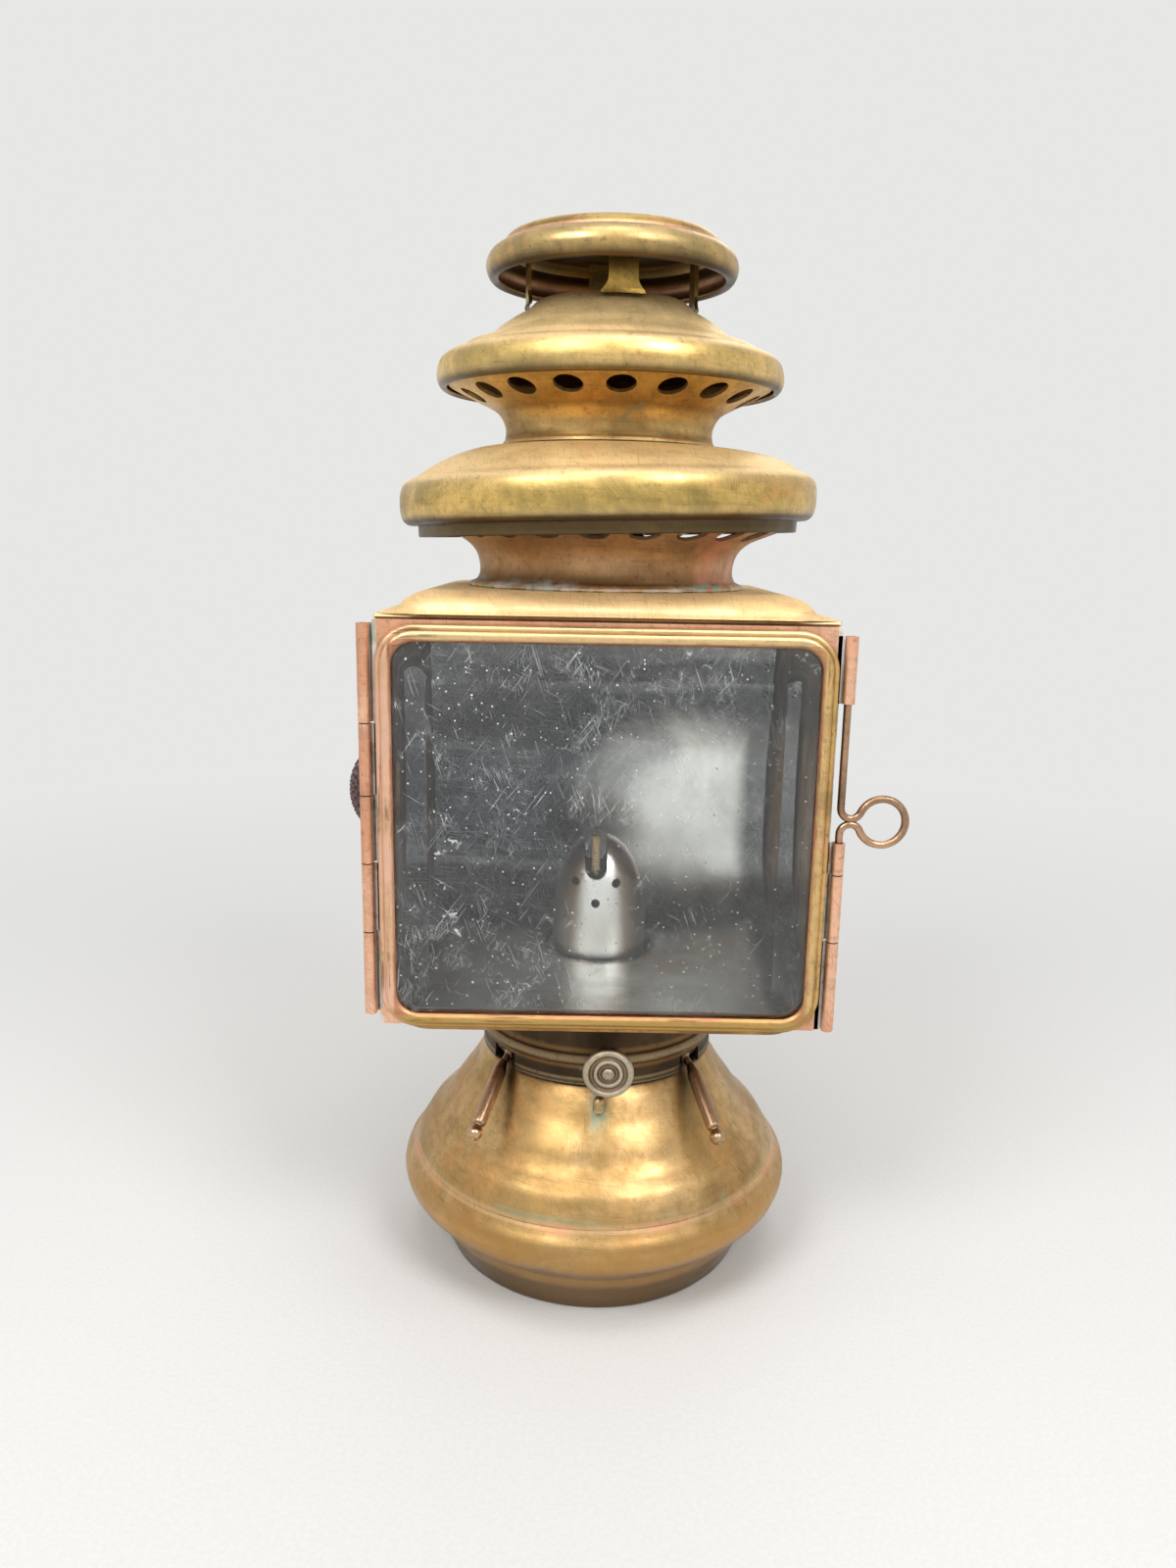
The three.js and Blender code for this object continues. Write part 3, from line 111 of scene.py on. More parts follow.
def flow(points, step=0.8):
    """A smooth line through points. A point with a third value is a corner."""
    runs = [[points[0][:2]]]
    for point in points[1:]:
        runs[-1].append(point[:2])
        if len(point) > 2:
            runs.append([point[:2]])
    line = [Vector(points[0][:2])]
    for run in runs:
        if len(run) < 2:
            continue
        knots = [Vector(point) for point in run]
        knots = [2 * knots[0] - knots[1], *knots, 2 * knots[-1] - knots[-2]]
        for a, b, c, d in zip(knots, knots[1:], knots[2:], knots[3:]):
            t0, t1 = 0, math.sqrt((b - a).length)
            t2 = t1 + math.sqrt((c - b).length)
            t3 = t2 + math.sqrt((d - c).length)
            count = max(1, math.ceil((c - b).length / step))
            for k in range(1, count + 1):
                t = t1 + (t2 - t1) * k / count
                ab = a.lerp(b, (t - t0) / (t1 - t0))
                bc = b.lerp(c, (t - t1) / (t2 - t1))
                cd = c.lerp(d, (t - t2) / (t3 - t2))
                abc = ab.lerp(bc, (t - t0) / (t2 - t0))
                bcd = bc.lerp(cd, (t - t1) / (t3 - t1))
                line.append(abc.lerp(bcd, (t - t1) / (t2 - t1)))
    return line


def offset(line, distance):
    """The line moved to its inner side: left of the way it runs."""
    moved = []
    for i, point in enumerate(line):
        before = line[max(i - 1, 0)]
        after = line[min(i + 1, len(line) - 1)]
        ways = [(b - a).normalized() for a, b in ((before, point), (point, after)) if (b - a).length > 1e-6]
        way = sum(ways, Vector((0, 0))).normalized()
        half = max(way.dot(ways[0]), 0.5)
        moved.append(point + Vector((-way.y, way.x)) * distance / half)
    return moved


def shell(outer, thickness=SHEET):
    """A sheet's whole section: outer line, rounded lips and inner line."""
    inner = offset(outer, thickness)
    for a, b in ((outer[0], inner[0]), (outer[-1], inner[-1])):
        if a.x < 0.01:
            b.x = 0
    lips = []
    for end, inside, before in ((outer[-1], inner[-1], outer[-2]), (outer[0], inner[0], outer[1])):
        way = (end - before).normalized() * thickness * 0.3
        lips.append([end.lerp(inside, s) + way for s in (0.25, 0.75)] if end.x > 0.01 else [])
    return [*outer, *lips[0], *reversed(inner), *reversed(lips[1])]


def arc(cx, cy, radius, start, end, steps):
    """Points on a circle, with angles in degrees."""
    angles = [math.radians(start + (end - start) * k / steps) for k in range(steps + 1)]
    return [(cx + radius * math.cos(a), cy + radius * math.sin(a)) for a in angles]


def rounded(u0, u1, v0, v1, radius, steps=10, along=14):
    """A rounded rectangle as a ring of points."""
    centres = [
        (u1 - radius, v0 + radius), (u1 - radius, v1 - radius), (u0 + radius, v1 - radius),
        (u0 + radius, v0 + radius)
    ]
    corners = [arc(cu, cv, radius, -90 + 90 * i, 90 * i, steps) for i, (cu, cv) in enumerate(centres)]
    ring = []
    for i, corner in enumerate(corners):
        ring += corner
        a, b = Vector(corner[-1]), Vector(corners[(i + 1) % 4][0])
        ring += [tuple(a.lerp(b, k / along)) for k in range(1, along)]
    return ring


# ---------------------------------------------------------------- meshes, as (points, faces, wear)
def wear_of(line):
    """How sharply a closed section turns at each point: 1 at a ridge, -1 in a crease."""
    count = len(line)
    out = []
    for i in range(count):
        a, b, c = line[i - 3], line[i], line[(i + 3) % count]
        first, second = b - a, c - b
        if first.length < 1e-6 or second.length < 1e-6:
            out.append(0.0)
            continue
        first.normalize()
        second.normalize()
        turn = first.x * second.y - first.y * second.x
        out.append(max(-1.0, min(1.0, turn * 1.3)))
    return out


def spin(section, sides=SIDES):
    """Turn a closed section of (radius, height) about Z."""
    points, rows, wear = [], [], []
    worn = wear_of(section)
    for (r, z), value in zip(section, worn):
        start = len(points)
        if r < 0.01:
            points.append(Vector((0, 0, z)))
        else:
            for k in range(sides):
                a = 2 * math.pi * k / sides
                points.append(Vector((r * math.sin(a), -r * math.cos(a), z)))
        rows.append(range(start, len(points)))
        wear += [value] * (len(points) - start)
    faces = []
    for low, high in zip(rows, rows[1:] + rows[:1]):
        if len(low) == 1 and len(high) == 1:
            continue
        for i in range(sides):
            j = (i + 1) % sides
            if len(low) == 1:
                faces.append((low[0], high[j], high[i]))
            elif len(high) == 1:
                faces.append((low[i], low[j], high[0]))
            else:
                faces.append((low[i], low[j], high[j], high[i]))
    return points, faces, wear


def skin(loops, ring=False, wear=None):
    """Join loops of equally many points. A ring closes on itself, and other skins get end caps."""
    n = len(loops[0])
    points = [Vector(p) for loop in loops for p in loop]
    rows = list(range(len(loops)))
    pairs = list(zip(rows, rows[1:])) + ([(rows[-1], 0)] if ring else [])
    faces = []
    for a, b in pairs:
        faces += [(a * n + i, a * n + (i + 1) % n, b * n + (i + 1) % n, b * n + i) for i in range(n)]
    if not ring:
        faces.append(tuple(reversed(range(n))))
        faces.append(tuple(range(len(points) - n, len(points))))
    return points, faces, [w for w in (wear or [0.0] * len(loops)) for _ in range(n)]


def rod(a, b, radius, sides=24):
    """A plain round bar between two points, used as a cutter or a shank."""
    a, b = Vector(a), Vector(b)
    turn = Vector((0, 0, 1)).rotation_difference(b - a).to_matrix()
    loops = []
    for end in (a, b):
        loops.append([end + turn @ Vector((x, y, 0)) for x, y in arc(0, 0, radius, 0, 360, sides)[:-1]])
    return skin(loops)


def block(x0, x1, y0, y1, z0, z1):
    """A box cutter."""
    return skin([[(x0, y0, z), (x1, y0, z), (x1, y1, z), (x0, y1, z)] for z in (z0, z1)])


def tube(path, radius):
    """A round wire along a path in an upright plane, its ends closed flat."""
    path = [Vector(p) for p in path]
    loops = []
    for i, point in enumerate(path):
        along = (path[min(i + 1, len(path) - 1)] - path[max(i - 1, 0)]).normalized()
        across = Vector((0, 1, 0))
        up = along.cross(across)
        grow = radius * (1 + 0.03 * noise.noise(point * 0.3))
        circle = arc(0, 0, 1, 0, 360, 16)[:-1]
        loops.append([point + across * grow * x + up * grow * y for x, y in circle])
    return skin(loops)


def extrude(outline, z0, z1, chamfer=0.0):
    """An upright prism over an outline of (x, y)."""
    levels = [(z0, 1), (z1, 1)]
    if chamfer:
        levels = [(z0, 0), (z0 + chamfer, 1), (z1 - chamfer, 1), (z1, 0)]
    centre = sum((Vector(p) for p in outline), Vector((0, 0))) / len(outline)
    loops = []
    for z, full in levels:
        loop = []
        for p in outline:
            q = Vector(p)
            if not full:
                q -= (q - centre).normalized() * chamfer
            loop.append((q.x, q.y, z))
        loops.append(loop)
    return skin(loops)


def placed(shape, matrix):
    """A shape moved by a matrix."""
    points, faces, wear = shape
    return [matrix @ p for p in points], faces, wear


def merged(*shapes):
    """Several shapes as one."""
    points, faces, wear = [], [], []
    for more_points, more_faces, more_wear in shapes:
        base = len(points)
        points += more_points
        faces += [tuple(base + i for i in face) for face in more_faces]
        wear += more_wear
    return points, faces, wear


def uneven(shape, depth=0.2):
    """Hand-worked sheet: pull the skin in towards its axis by up to a depth, softly."""
    points, faces, wear = shape
    size = 22.0  # of a wave
    moved = []
    for p in points:
        out = Vector((p.x, p.y, 0))
        if out.length > 1:
            amount = 0.5 + 0.5 * noise.noise(p / size) + 0.25 * noise.noise(p / (size * 0.3))
            p = p - out.normalized() * depth * max(0.0, min(1.0, amount))
        moved.append(p)
    return moved, faces, wear


FRONTWARD = Matrix(((1, 0, 0, 0), (0, 0, -1, 0), (0, 1, 0, 0), (0, 0, 0, 1)))  # turns an axis along Z to -Y
BACKWARD = Matrix(((1, 0, 0, 0), (0, 0, 1, 0), (0, -1, 0, 0), (0, 0, 0, 1)))  # to +Y
LEFTWARD = Matrix(((0, 0, -1, 0), (0, 1, 0, 0), (1, 0, 0, 0), (0, 0, 0, 1)))  # to -X


def mesh_object(name, shape, finish):
    points, faces, wear = shape
    mesh = bpy.data.meshes.new(name)
    mesh.from_pydata([p * MM for p in points], [], faces)
    mesh.attributes.new("wear", "FLOAT", "POINT").data.foreach_set("value", wear)
    tidy = bmesh.new()
    tidy.from_mesh(mesh)
    bmesh.ops.recalc_face_normals(tidy, faces=tidy.faces)
    tidy.to_mesh(mesh)
    tidy.free()
    mesh.materials.append(finish)
    made = bpy.data.objects.new(name, mesh)
    bpy.context.scene.collection.objects.link(made)
    return made


def carve(target, cutters):
    """Cut shapes out of an object."""
    tool = mesh_object("cutter", merged(*cutters), target.data.materials[0])
    cut = target.modifiers.new("cut", "BOOLEAN")
    cut.object = tool
    cut.operation = "DIFFERENCE"
    cut.solver = "EXACT"
    graph = bpy.context.evaluated_depsgraph_get()
    result = bpy.data.meshes.new_from_object(target.evaluated_get(graph))
    target.modifiers.clear()
    old = target.data
    target.data = result
    bpy.data.meshes.remove(old)
    bpy.data.objects.remove(tool)


def piece(node, shape, finish, *cuts, sharp=38):
    """A finished piece that stands for one CAD node and rides with it. Each cut is a list of cutters."""
    made = mesh_object(f"{node}_piece", shape, finish)
    for cutters in cuts:
        carve(made, cutters)
    made.data.shade_smooth()
    made.data.set_sharp_from_angle(angle=math.radians(sharp))
    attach(made, nodes[node]["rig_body"])
    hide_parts(node)
    return made


# ---------------------------------------------------------------- materials
class Nodes:
    """Adds shader nodes to a tree and links them."""

    def __init__(self, tree):
        self.tree = tree

    def add(self, kind, out=0, **values):
        """A new node's output. A name in lower case is a setting, i0 is the first input, and so on."""
        node = self.tree.nodes.new("ShaderNode" + kind)
        for key, value in values.items():
            if key[0] == "i" and key[1:].isdigit():
                self.plug(node.inputs[int(key[1:])], value)
            elif key.islower():
                setattr(node, key, value)
            else:
                self.plug(node.inputs[key.replace("_", " ")], value)
        return node.outputs[out]

    def plug(self, socket, value):
        if isinstance(value, bpy.types.NodeSocket):
            self.tree.links.new(value, socket)
        else:
            socket.default_value = (*value, 1.0) if socket.type == "RGBA" else value

    def math(self, operation, a, b=0.0, clamp=False):
        return self.add("Math", operation=operation, use_clamp=clamp, i0=a, i1=b)

    def times(self, a, b):
        return self.math("MULTIPLY", a, b)

    def plus(self, a, b, clamp=False):
        return self.math("ADD", a, b, clamp)

    def minus(self, a, b):
        return self.math("SUBTRACT", a, b)

    def most(self, a, b):
        return self.math("MAXIMUM", a, b)

    def length(self, vector):
        return self.add("VectorMath", "Value", operation="LENGTH", i0=vector)

    def band(self, value, low, high, start=0.0, end=1.0):
        """Smooth step from start to end as the value goes from low to high."""
        smooth = "SMOOTHSTEP"
        return self.add("MapRange", interpolation_type=smooth, i0=value, i1=low, i2=high, i3=start, i4=end)

    def mix(self, share, a, b):
        return self.add("Mix", 2, data_type="RGBA", i0=share, i6=a, i7=b)


class Surface(Nodes):
    """A material. Its tone is the colour that it has so far, and paint lays more over it."""

    def __init__(self, name, tone):
        self.material = bpy.data.materials.new(name)
        self.material.use_nodes = True
        super().__init__(self.material.node_tree)
        self.shader = self.tree.nodes["Principled BSDF"]
        self.place = self.add("TexCoord", "Object")
        self.tone = tone
        self.height = None

    def paint(self, share, colour):
        self.tone = self.mix(share, self.tone, colour)

    def finish(self, **inputs):
        """Give the shader its tone and what else it needs."""
        for key, value in {"Base_Color": self.tone, **inputs}.items():
            self.plug(self.shader.inputs[key.replace("_", " ")], value)
        return self.material

    def moved(self, seed, scale=(1, 1, 1)):
        """Object coordinates, shifted so that layers don't repeat each other."""
        shift = (seed * 0.73, seed * 0.31, seed * 0.57)
        return self.add("Mapping", Vector=self.place, Location=shift, Scale=scale)

    def noise(self, scale, detail, seed=0, stretch=(1, 1, 1), warp=0.0, vector=None):
        at = vector or self.moved(seed, stretch)
        return self.add("TexNoise", Vector=at, Scale=scale, Detail=detail, Roughness=0.62, Distortion=warp)

    def blots(self, scale, detail, seed, low, high, start=0.0, end=1.0, **how):
        """Noise, stepped from start to end as it goes from low to high."""
        return self.band(self.noise(scale, detail, seed, **how), low, high, start, end)

    def axis(self, index):
        return self.add("SeparateXYZ", index, Vector=self.place)

    def away(self, axis, middle=0.0):
        """Distance along an axis from a plane across it."""
        return self.math("ABSOLUTE", self.minus(self.axis(axis), middle) if middle else self.axis(axis))

    def between(self, axis, low, high, soft):
        """A share that is 1 between two places on an axis, in millimetres, and fades outside them."""
        value = self.axis(axis)
        rise = self.band(value, (low - soft) * MM, low * MM)
        return self.times(rise, self.band(value, high * MM, (high + soft) * MM, 1.0, 0.0))

    def wear(self):
        return self.add("Attribute", "Fac", attribute_name="wear")

    def cavity(self, reach):
        """How closed in a place is, from 0 in the open to 1 in a corner."""
        return self.minus(1.0, self.add("AmbientOcclusion", "AO", samples=8, Distance=reach * MM))

    def facing_up(self):
        return self.add("SeparateXYZ", 2, Vector=self.add("NewGeometry", "Normal"))

    def rings(self):
        """Coordinates that run round the lamp's axis, for turning marks."""
        x, y, z = (self.axis(i) for i in range(3))
        flat = self.add("CombineXYZ", X=x, Y=y, Z=0.0)
        unit = self.add("VectorMath", operation="NORMALIZE", i0=flat)
        ux, uy = (self.add("SeparateXYZ", i, Vector=unit) for i in range(2))
        along = self.plus(self.times(z, 260.0), self.times(self.length(flat), 170.0))
        return self.add("CombineXYZ", X=ux, Y=uy, Z=along)

    def spots(self, scale, size, share, seed):
        """Small scattered round marks."""
        cells = self.tree.nodes.new("ShaderNodeTexVoronoi")
        self.plug(cells.inputs["Vector"], self.moved(seed))
        self.plug(cells.inputs["Scale"], scale)
        chosen = self.add("SeparateColor", Color=cells.outputs["Color"])
        near = self.band(cells.outputs["Distance"], size * 0.5, size, 1.0, 0.0)
        return self.times(near, self.band(chosen, 1 - share - 0.02, 1 - share))

    def streaks(self, angle, across, along, seed, share):
        """Fine straight scratches at one angle. Across and along are their pitches in millimetres."""
        turned = self.add("Mapping", Vector=self.moved(seed), Rotation=(0, math.radians(angle), 0))
        scale = (1 / (across * MM), 1 / (along * MM), 1 / (along * MM))
        field = self.add("Mapping", Vector=turned, Scale=scale)
        line = self.noise(1, 2, vector=field)
        return self.band(line, 0.68 - share * 0.25, 0.73 - share * 0.25)

    def scratches(self, seed, share, angles, across, along):
        """Fine scratches that cross each other."""
        lines = [self.streaks(angle, across, along, seed + i, share) for i, angle in enumerate(angles)]
        while len(lines) > 1:
            lines = [self.most(lines[0], lines[1]), *lines[2:]]
        return lines[0]

    def bump(self, height, strength, distance):
        below = {} if self.height is None else {"Normal": self.height}
        self.height = self.add("Bump", Strength=strength, Distance=distance, Height=height, **below)
        self.plug(self.shader.inputs["Normal"], self.height)


ORANGE = (0.66, 0.35, 0.12)
BROWN = (0.26, 0.145, 0.06)
DARK = (0.06, 0.042, 0.024)
ROSE = (0.78, 0.42, 0.28)
TAN = (0.88, 0.66, 0.38)
GREEN = (0.16, 0.27, 0.19)
CHALK = (0.72, 0.7, 0.66)


def brass(
    name, main, second, third=ORANGE, crease=BROWN, spun=False, dull=0.0, green=0.3, grime=0.5,
    corners=0.9, under=0.0, dust_and_top_light=0.0, extra=None,
):
    """Old brass: clouds of three tones, random dirt, painted shade in closed-in corners and on downward
    faces, dust and a painted top light on upward faces, specks of verdigris.

    Extra paints a piece's own stains or painted shade, and gives the share of chalky growth where there is
    any.
    """
    s = Surface(name, main)
    clouds = s.blots(30, 7, 1, 0.42, 0.6, warp=0.8)
    s.paint(s.times(clouds, 0.85), second)
    s.paint(s.blots(36, 6, 3, 0.5, 0.66, 0.0, 0.7, warp=1.0), third)
    s.paint(s.blots(230, 8, 2, 0.42, 0.68, 0.0, 0.6), second)
    # Pale tone on upward faces: part settled dust, part a painted top light that lightens the tops.
    up = s.plus(s.facing_up(), s.times(s.noise(90, 6, 13), 0.3))
    top_light_and_dust = s.band(up, 0.5, 0.95, 0.0, dust_and_top_light)
    s.paint(top_light_and_dust, (0.86, 0.62, 0.3))
    wear = s.wear()
    s.paint(s.band(wear, -0.2, -0.6, 0.0, 0.75), crease)
    s.paint(s.band(wear, 0.1, 0.8, 0.0, 0.3), TAN)
    ring = s.noise(1, 4, vector=s.rings()) if spun else s.noise(150, 4, 6, (0.08, 0.5, 1))
    s.paint(s.band(ring, 0.5, 0.72, 0.0, 0.25), DARK)
    pits = s.most(s.spots(520, 0.13, 0.04, 4), s.times(s.spots(1300, 0.25, 0.1, 5), 0.6))
    dirt = s.blots(620, 8, 7, 0.54, 0.74, 0.0, grime)
    lines = s.scratches(90, 0.22, (4, 86, 41), 0.12, 9.0)
    dirt = s.most(dirt, s.times(lines, 0.4))
    s.paint(s.most(s.times(pits, 0.6), dirt), DARK)
    # Painted shade: darkens closed-in corners, found by ambient occlusion.
    shade = s.minus(s.cavity(9), s.times(s.noise(120, 6, 12), 0.3))
    s.paint(s.band(shade, 0.06, 0.55, 0.0, corners), DARK)
    # Painted shade on downward faces.
    if under:
        s.paint(s.band(up, 0.0, -0.55, 0.0, under), DARK)
    patch = s.blots(210, 8, 8, 0.68 - 0.3 * green, 0.76 - 0.3 * green, warp=0.6)
    growth = s.times(patch, s.band(wear, -0.1, -0.45, 0.06, 0.9))
    growth = s.times(growth, s.blots(17, 3, 9, 0.46, 0.58))
    s.paint(s.times(growth, 0.7), GREEN)
    if dust_and_top_light:
        growth = s.most(growth, s.times(top_light_and_dust, 0.5))
    chalk = extra(s) if extra else None
    if chalk:
        growth = s.most(growth, chalk)
    rough = s.blots(70, 7, 10, 0.34, 0.7, 0.27 + dull, 0.43 + dull)
    rough = s.plus(rough, s.times(growth, 0.3), clamp=True)
    rough = s.plus(rough, s.times(clouds, 0.07), clamp=True)
    s.bump(ring, 0.12, 0.00012)
    s.bump(s.noise(420, 6, 11), 0.2, 0.0002)
    s.bump(lines, -0.15, 0.0001)
    s.bump(s.most(growth, pits), 0.25, 0.00015)
    return s.finish(Roughness=rough, Metallic=s.band(growth, 0.1, 0.9, 1.0, 0.25))


def canopy_rim_shade(s):
    """Painted shade under the lower canopy's bent rim."""
    height = s.minus(s.axis(2), s.times(s.axis(0), math.tan(math.radians(RIM_LEAN))))
    height = s.plus(height, s.times(s.noise(120, 6, 68), 0.0012))
    # Painted shade: a dark band just under the bent rim, following its lean.
    s.paint(s.times(s.band(height, 0.2075, 0.2085, 0.88, 0.0), s.band(height, 0.2, 0.2005)), DARK)


def lower_neck_stains(s):
    """Chalky flux and verdigris round the foot, and a rosy burn at the right."""
    burn = s.times(s.between(0, 24, 30, 4), s.between(1, -40, -10, 6))
    burn = s.times(burn, s.blots(60, 6, 60, 0.34, 0.6))
    s.paint(s.times(burn, 0.7), (0.8, 0.36, 0.24))
    height = s.minus(s.axis(2), s.times(s.noise(70, 5, 61), 0.008))
    chalk = s.times(s.band(height, 0.186, 0.1885, 1.0, 0.0), s.blots(260, 8, 62, 0.36, 0.56))
    tint = s.mix(s.blots(65, 4, 63, 0.4, 0.6), (0.8, 0.68, 0.62), (0.5, 0.6, 0.62))
    tint = s.mix(s.blots(72, 3, 64, 0.56, 0.64), tint, (0.8, 0.68, 0.2))
    tint = s.mix(s.blots(80, 3, 69, 0.56, 0.64), tint, (0.3, 0.5, 0.42))
    s.paint(s.times(chalk, 0.85), tint)
    return s.times(chalk, 0.7)


def font_stains(s):
    """A rosy fringe along the seam, a green one above it, a mottled browner tone from the bead down, painted
    shade darkening the foot, and verdigris under the stud.
    """
    seam = s.times(s.between(2, 28.8, 30.4, 0.9), s.blots(60, 6, 70, 0.4, 0.6, 0.1, 1.0))
    s.paint(s.times(seam, 0.5), (0.66, 0.31, 0.17))
    fringe = s.times(s.between(2, 30.9, 31.8, 0.6), s.blots(45, 7, 71, 0.44, 0.56, warp=1.0))
    s.paint(s.times(fringe, 0.4), (0.33, 0.4, 0.25))
    bead = s.times(s.band(s.axis(2), 0.0285, 0.025), s.blots(38, 6, 82, 0.3, 0.6, 0.25, 0.7))
    s.paint(bead, (0.46, 0.25, 0.075))
    # Painted shade: darker towards the bottom of the foot.
    foot = s.plus(s.axis(2), s.times(s.noise(80, 5, 81), 0.002))
    s.paint(s.band(foot, 0.0115, 0.009, 0.0, 0.7), (0.13, 0.09, 0.05))
    side = s.away(0, 0.0006)
    stain = s.times(s.band(side, 0.0012, 0.0034, 1.0, 0.0), s.between(2, 49.5, 57, 1.5))
    stain = s.times(stain, s.band(s.axis(1), -0.02, -0.025))
    stain = s.times(stain, s.blots(330, 7, 72, 0.42, 0.6))
    s.paint(s.times(stain, 0.55), (0.3, 0.44, 0.34))
    return s.times(stain, 0.5)


def bezel_stains(s):
    """Rosy copper at the left and round the glass, darker brass along the bottom, paler along the top, and
    brown streaks.
    """
    left = s.band(s.axis(0), -0.044, -0.052)
    s.paint(s.times(left, s.blots(60, 6, 65, 0.3, 0.6, 0.35, 0.95)), (0.88, 0.54, 0.4))
    s.paint(s.times(s.band(s.axis(2), 0.09, 0.086), 0.7), (0.46, 0.29, 0.08))
    s.paint(s.times(s.band(s.axis(2), 0.177, 0.181), 0.5), TAN)
    low, high = span("door_bezel")
    middle, half = (low.z + high.z) / 2 * MM, (high.z - low.z) / 2 * MM
    across = s.minus(s.away(0), high.x * MM)
    up = s.minus(s.away(2, middle), half)
    inward = s.most(across, up)
    ragged = s.plus(inward, s.times(s.noise(190, 6, 73), 0.0012))
    line = s.times(s.band(ragged, -0.0026, -0.0032), s.blots(70, 5, 74, 0.36, 0.6, 0.35, 0.9))
    s.paint(line, (0.5, 0.2, 0.11))
    upright = s.band(s.minus(across, up), -0.001, 0.001)
    along_x = s.times(s.noise(800, 5, 78, (0.05, 1, 1)), s.minus(1.0, upright))
    along_z = s.times(s.noise(800, 5, 79, (1, 1, 0.05)), upright)
    streak = s.band(s.plus(along_x, along_z), 0.52, 0.62)
    broken = s.blots(85, 5, 80, 0.42, 0.6, 0.1, 0.75)
    s.paint(s.times(streak, broken), (0.22, 0.12, 0.05))


def hinge_stains(s):
    """Red copper with white residue and verdigris in the joint beside the bezel."""
    side = s.away(0)
    joint = s.times(s.band(side, 0.0532, 0.054), s.band(side, 0.0556, 0.0549))
    chalk = s.times(joint, s.blots(180, 8, 66, 0.38, 0.5))
    s.paint(s.times(chalk, 0.8), s.mix(s.blots(75, 4, 67, 0.5, 0.6), CHALK, (0.32, 0.42, 0.34)))
    return chalk


def silver(name, level, stain, rough, stains, extra):
    """Silvered or nickelled metal, clouded and scratched. Extra adds stains, soot, painted reflections and
    painted shade, and gives the roughness.
    """
    s = Surface(name, (level, level * 0.985, level * 0.95))
    s.paint(s.blots(30, 6, 11, 0.4, 0.66, 0.0, stains, warp=0.7), stain)
    s.paint(s.blots(240, 6, 12, 0.5, 0.75, 0.0, 0.25), stain)
    coarse = s.blots(45, 6, 16, 0.3, 0.7, rough, rough + 0.14)
    coarse = extra(s, coarse)
    lines = s.scratches(13, 0.25, (12, 57, -38, 84), 0.14, 9.0)
    s.paint(s.times(lines, 0.3), (0.85, 0.85, 0.85))
    s.paint(s.times(s.spots(420, 0.2, 0.12, 15), 0.6), (0.12, 0.11, 0.1))
    s.bump(s.noise(24, 3, 17), 0.2, 0.0008)
    s.bump(s.noise(300, 5, 18), 0.06, 0.0001)
    return s.finish(Metallic=1.0, Roughness=coarse)


def painted_reflections_and_soot(s, coarse):
    """Painted reflections: dark over the left, top and sides, leaving a bright patch at the right, and warm
    on the floor; a dull floor and soot at the hole.
    """
    # Painted dark reflection, kept off a bright patch at the right and mostly off the floor.
    wave = s.times(s.minus(s.noise(22, 5, 19, warp=0.6), 0.5), 0.03)
    dx = s.math("DIVIDE", s.minus(s.plus(s.axis(0), wave), 0.034), 0.037)
    dz = s.math("DIVIDE", s.minus(s.minus(s.axis(2), wave), 0.12), 0.03)
    off_patch = s.math("SQRT", s.plus(s.times(dx, dx), s.times(dz, dz)))
    floor = s.band(s.axis(1), 0.016, -0.004)
    dark = s.times(s.band(off_patch, 0.4, 1.25), s.band(floor, 0.0, 1.0, 1.0, 0.12))
    dark = s.times(dark, s.blots(26, 4, 75, 0.5, 0.64, 1.0, 0.82, stretch=(0.25, 1, 1.6)))
    dark = s.most(dark, s.band(s.away(0), 0.04, 0.046, 0.0, 0.85))
    s.paint(dark, (0.024, 0.027, 0.035))
    # Painted warm reflection on the floor.
    s.paint(s.times(floor, s.blots(55, 5, 76, 0.5, 0.64, 0.0, 0.5)), (0.62, 0.44, 0.3))
    across = s.add("CombineXYZ", X=s.axis(0), Y=s.axis(1), Z=0.0)
    radius = s.plus(s.length(across), s.times(s.noise(60, 5, 77), 0.005))
    soot = s.times(s.band(radius, 0.0175, 0.0205, 0.93, 0.0), s.band(s.axis(2), 0.1, 0.097))
    s.paint(soot, (0.02, 0.018, 0.016))
    return s.plus(coarse, s.band(s.axis(2), 0.12, 0.1, 0.0, 0.24))


def soot_and_painted_shade(s, coarse):
    """Soot and painted shade darkening the closed-in inside of the burner's cap and its slot."""
    # Soot and painted shade, found by ambient occlusion.
    s.paint(s.band(s.cavity(7), 0.3, 0.62, 0.0, 0.94), (0.03, 0.025, 0.02))
    return coarse


def steel(name):
    s = Surface(name, (0.2, 0.18, 0.16))
    s.paint(s.noise(300, 6, 20), (0.34, 0.24, 0.17))
    s.bump(s.noise(900, 4, 22), 0.2, 0.0001)
    return s.finish(Metallic=0.9, Roughness=s.blots(500, 4, 21, 0.3, 0.7, 0.35, 0.6))


def cotton(name, top):
    """Flat woven wick: ribbed weave, tan, charred near its top."""
    s = Surface(name, (0.55, 0.38, 0.2))
    threads = []
    for way, scale, bend in (("Y", 330.0, 1.2), ("Z", 420.0, 1.0)):
        wave = s.add("TexWave", 1, bands_direction=way, Vector=s.place, Scale=scale, Distortion=bend)
        threads.append(wave)
    weave = s.times(*threads)
    s.paint(weave, (0.9, 0.7, 0.42))
    s.paint(s.blots(500, 5, 23, 0.4, 0.7, 0.0, 0.5), (0.6, 0.38, 0.17))
    height = s.plus(s.axis(2), s.times(s.noise(350, 4, 24), 0.003))
    s.paint(s.band(height, (top + 0.4) * MM, (top + 1.9) * MM), (0.025, 0.02, 0.018))
    s.bump(weave, 0.8, 0.0003)
    s.bump(s.noise(1500, 4, 25), 0.5, 0.0002)
    return s.finish(Roughness=0.95)


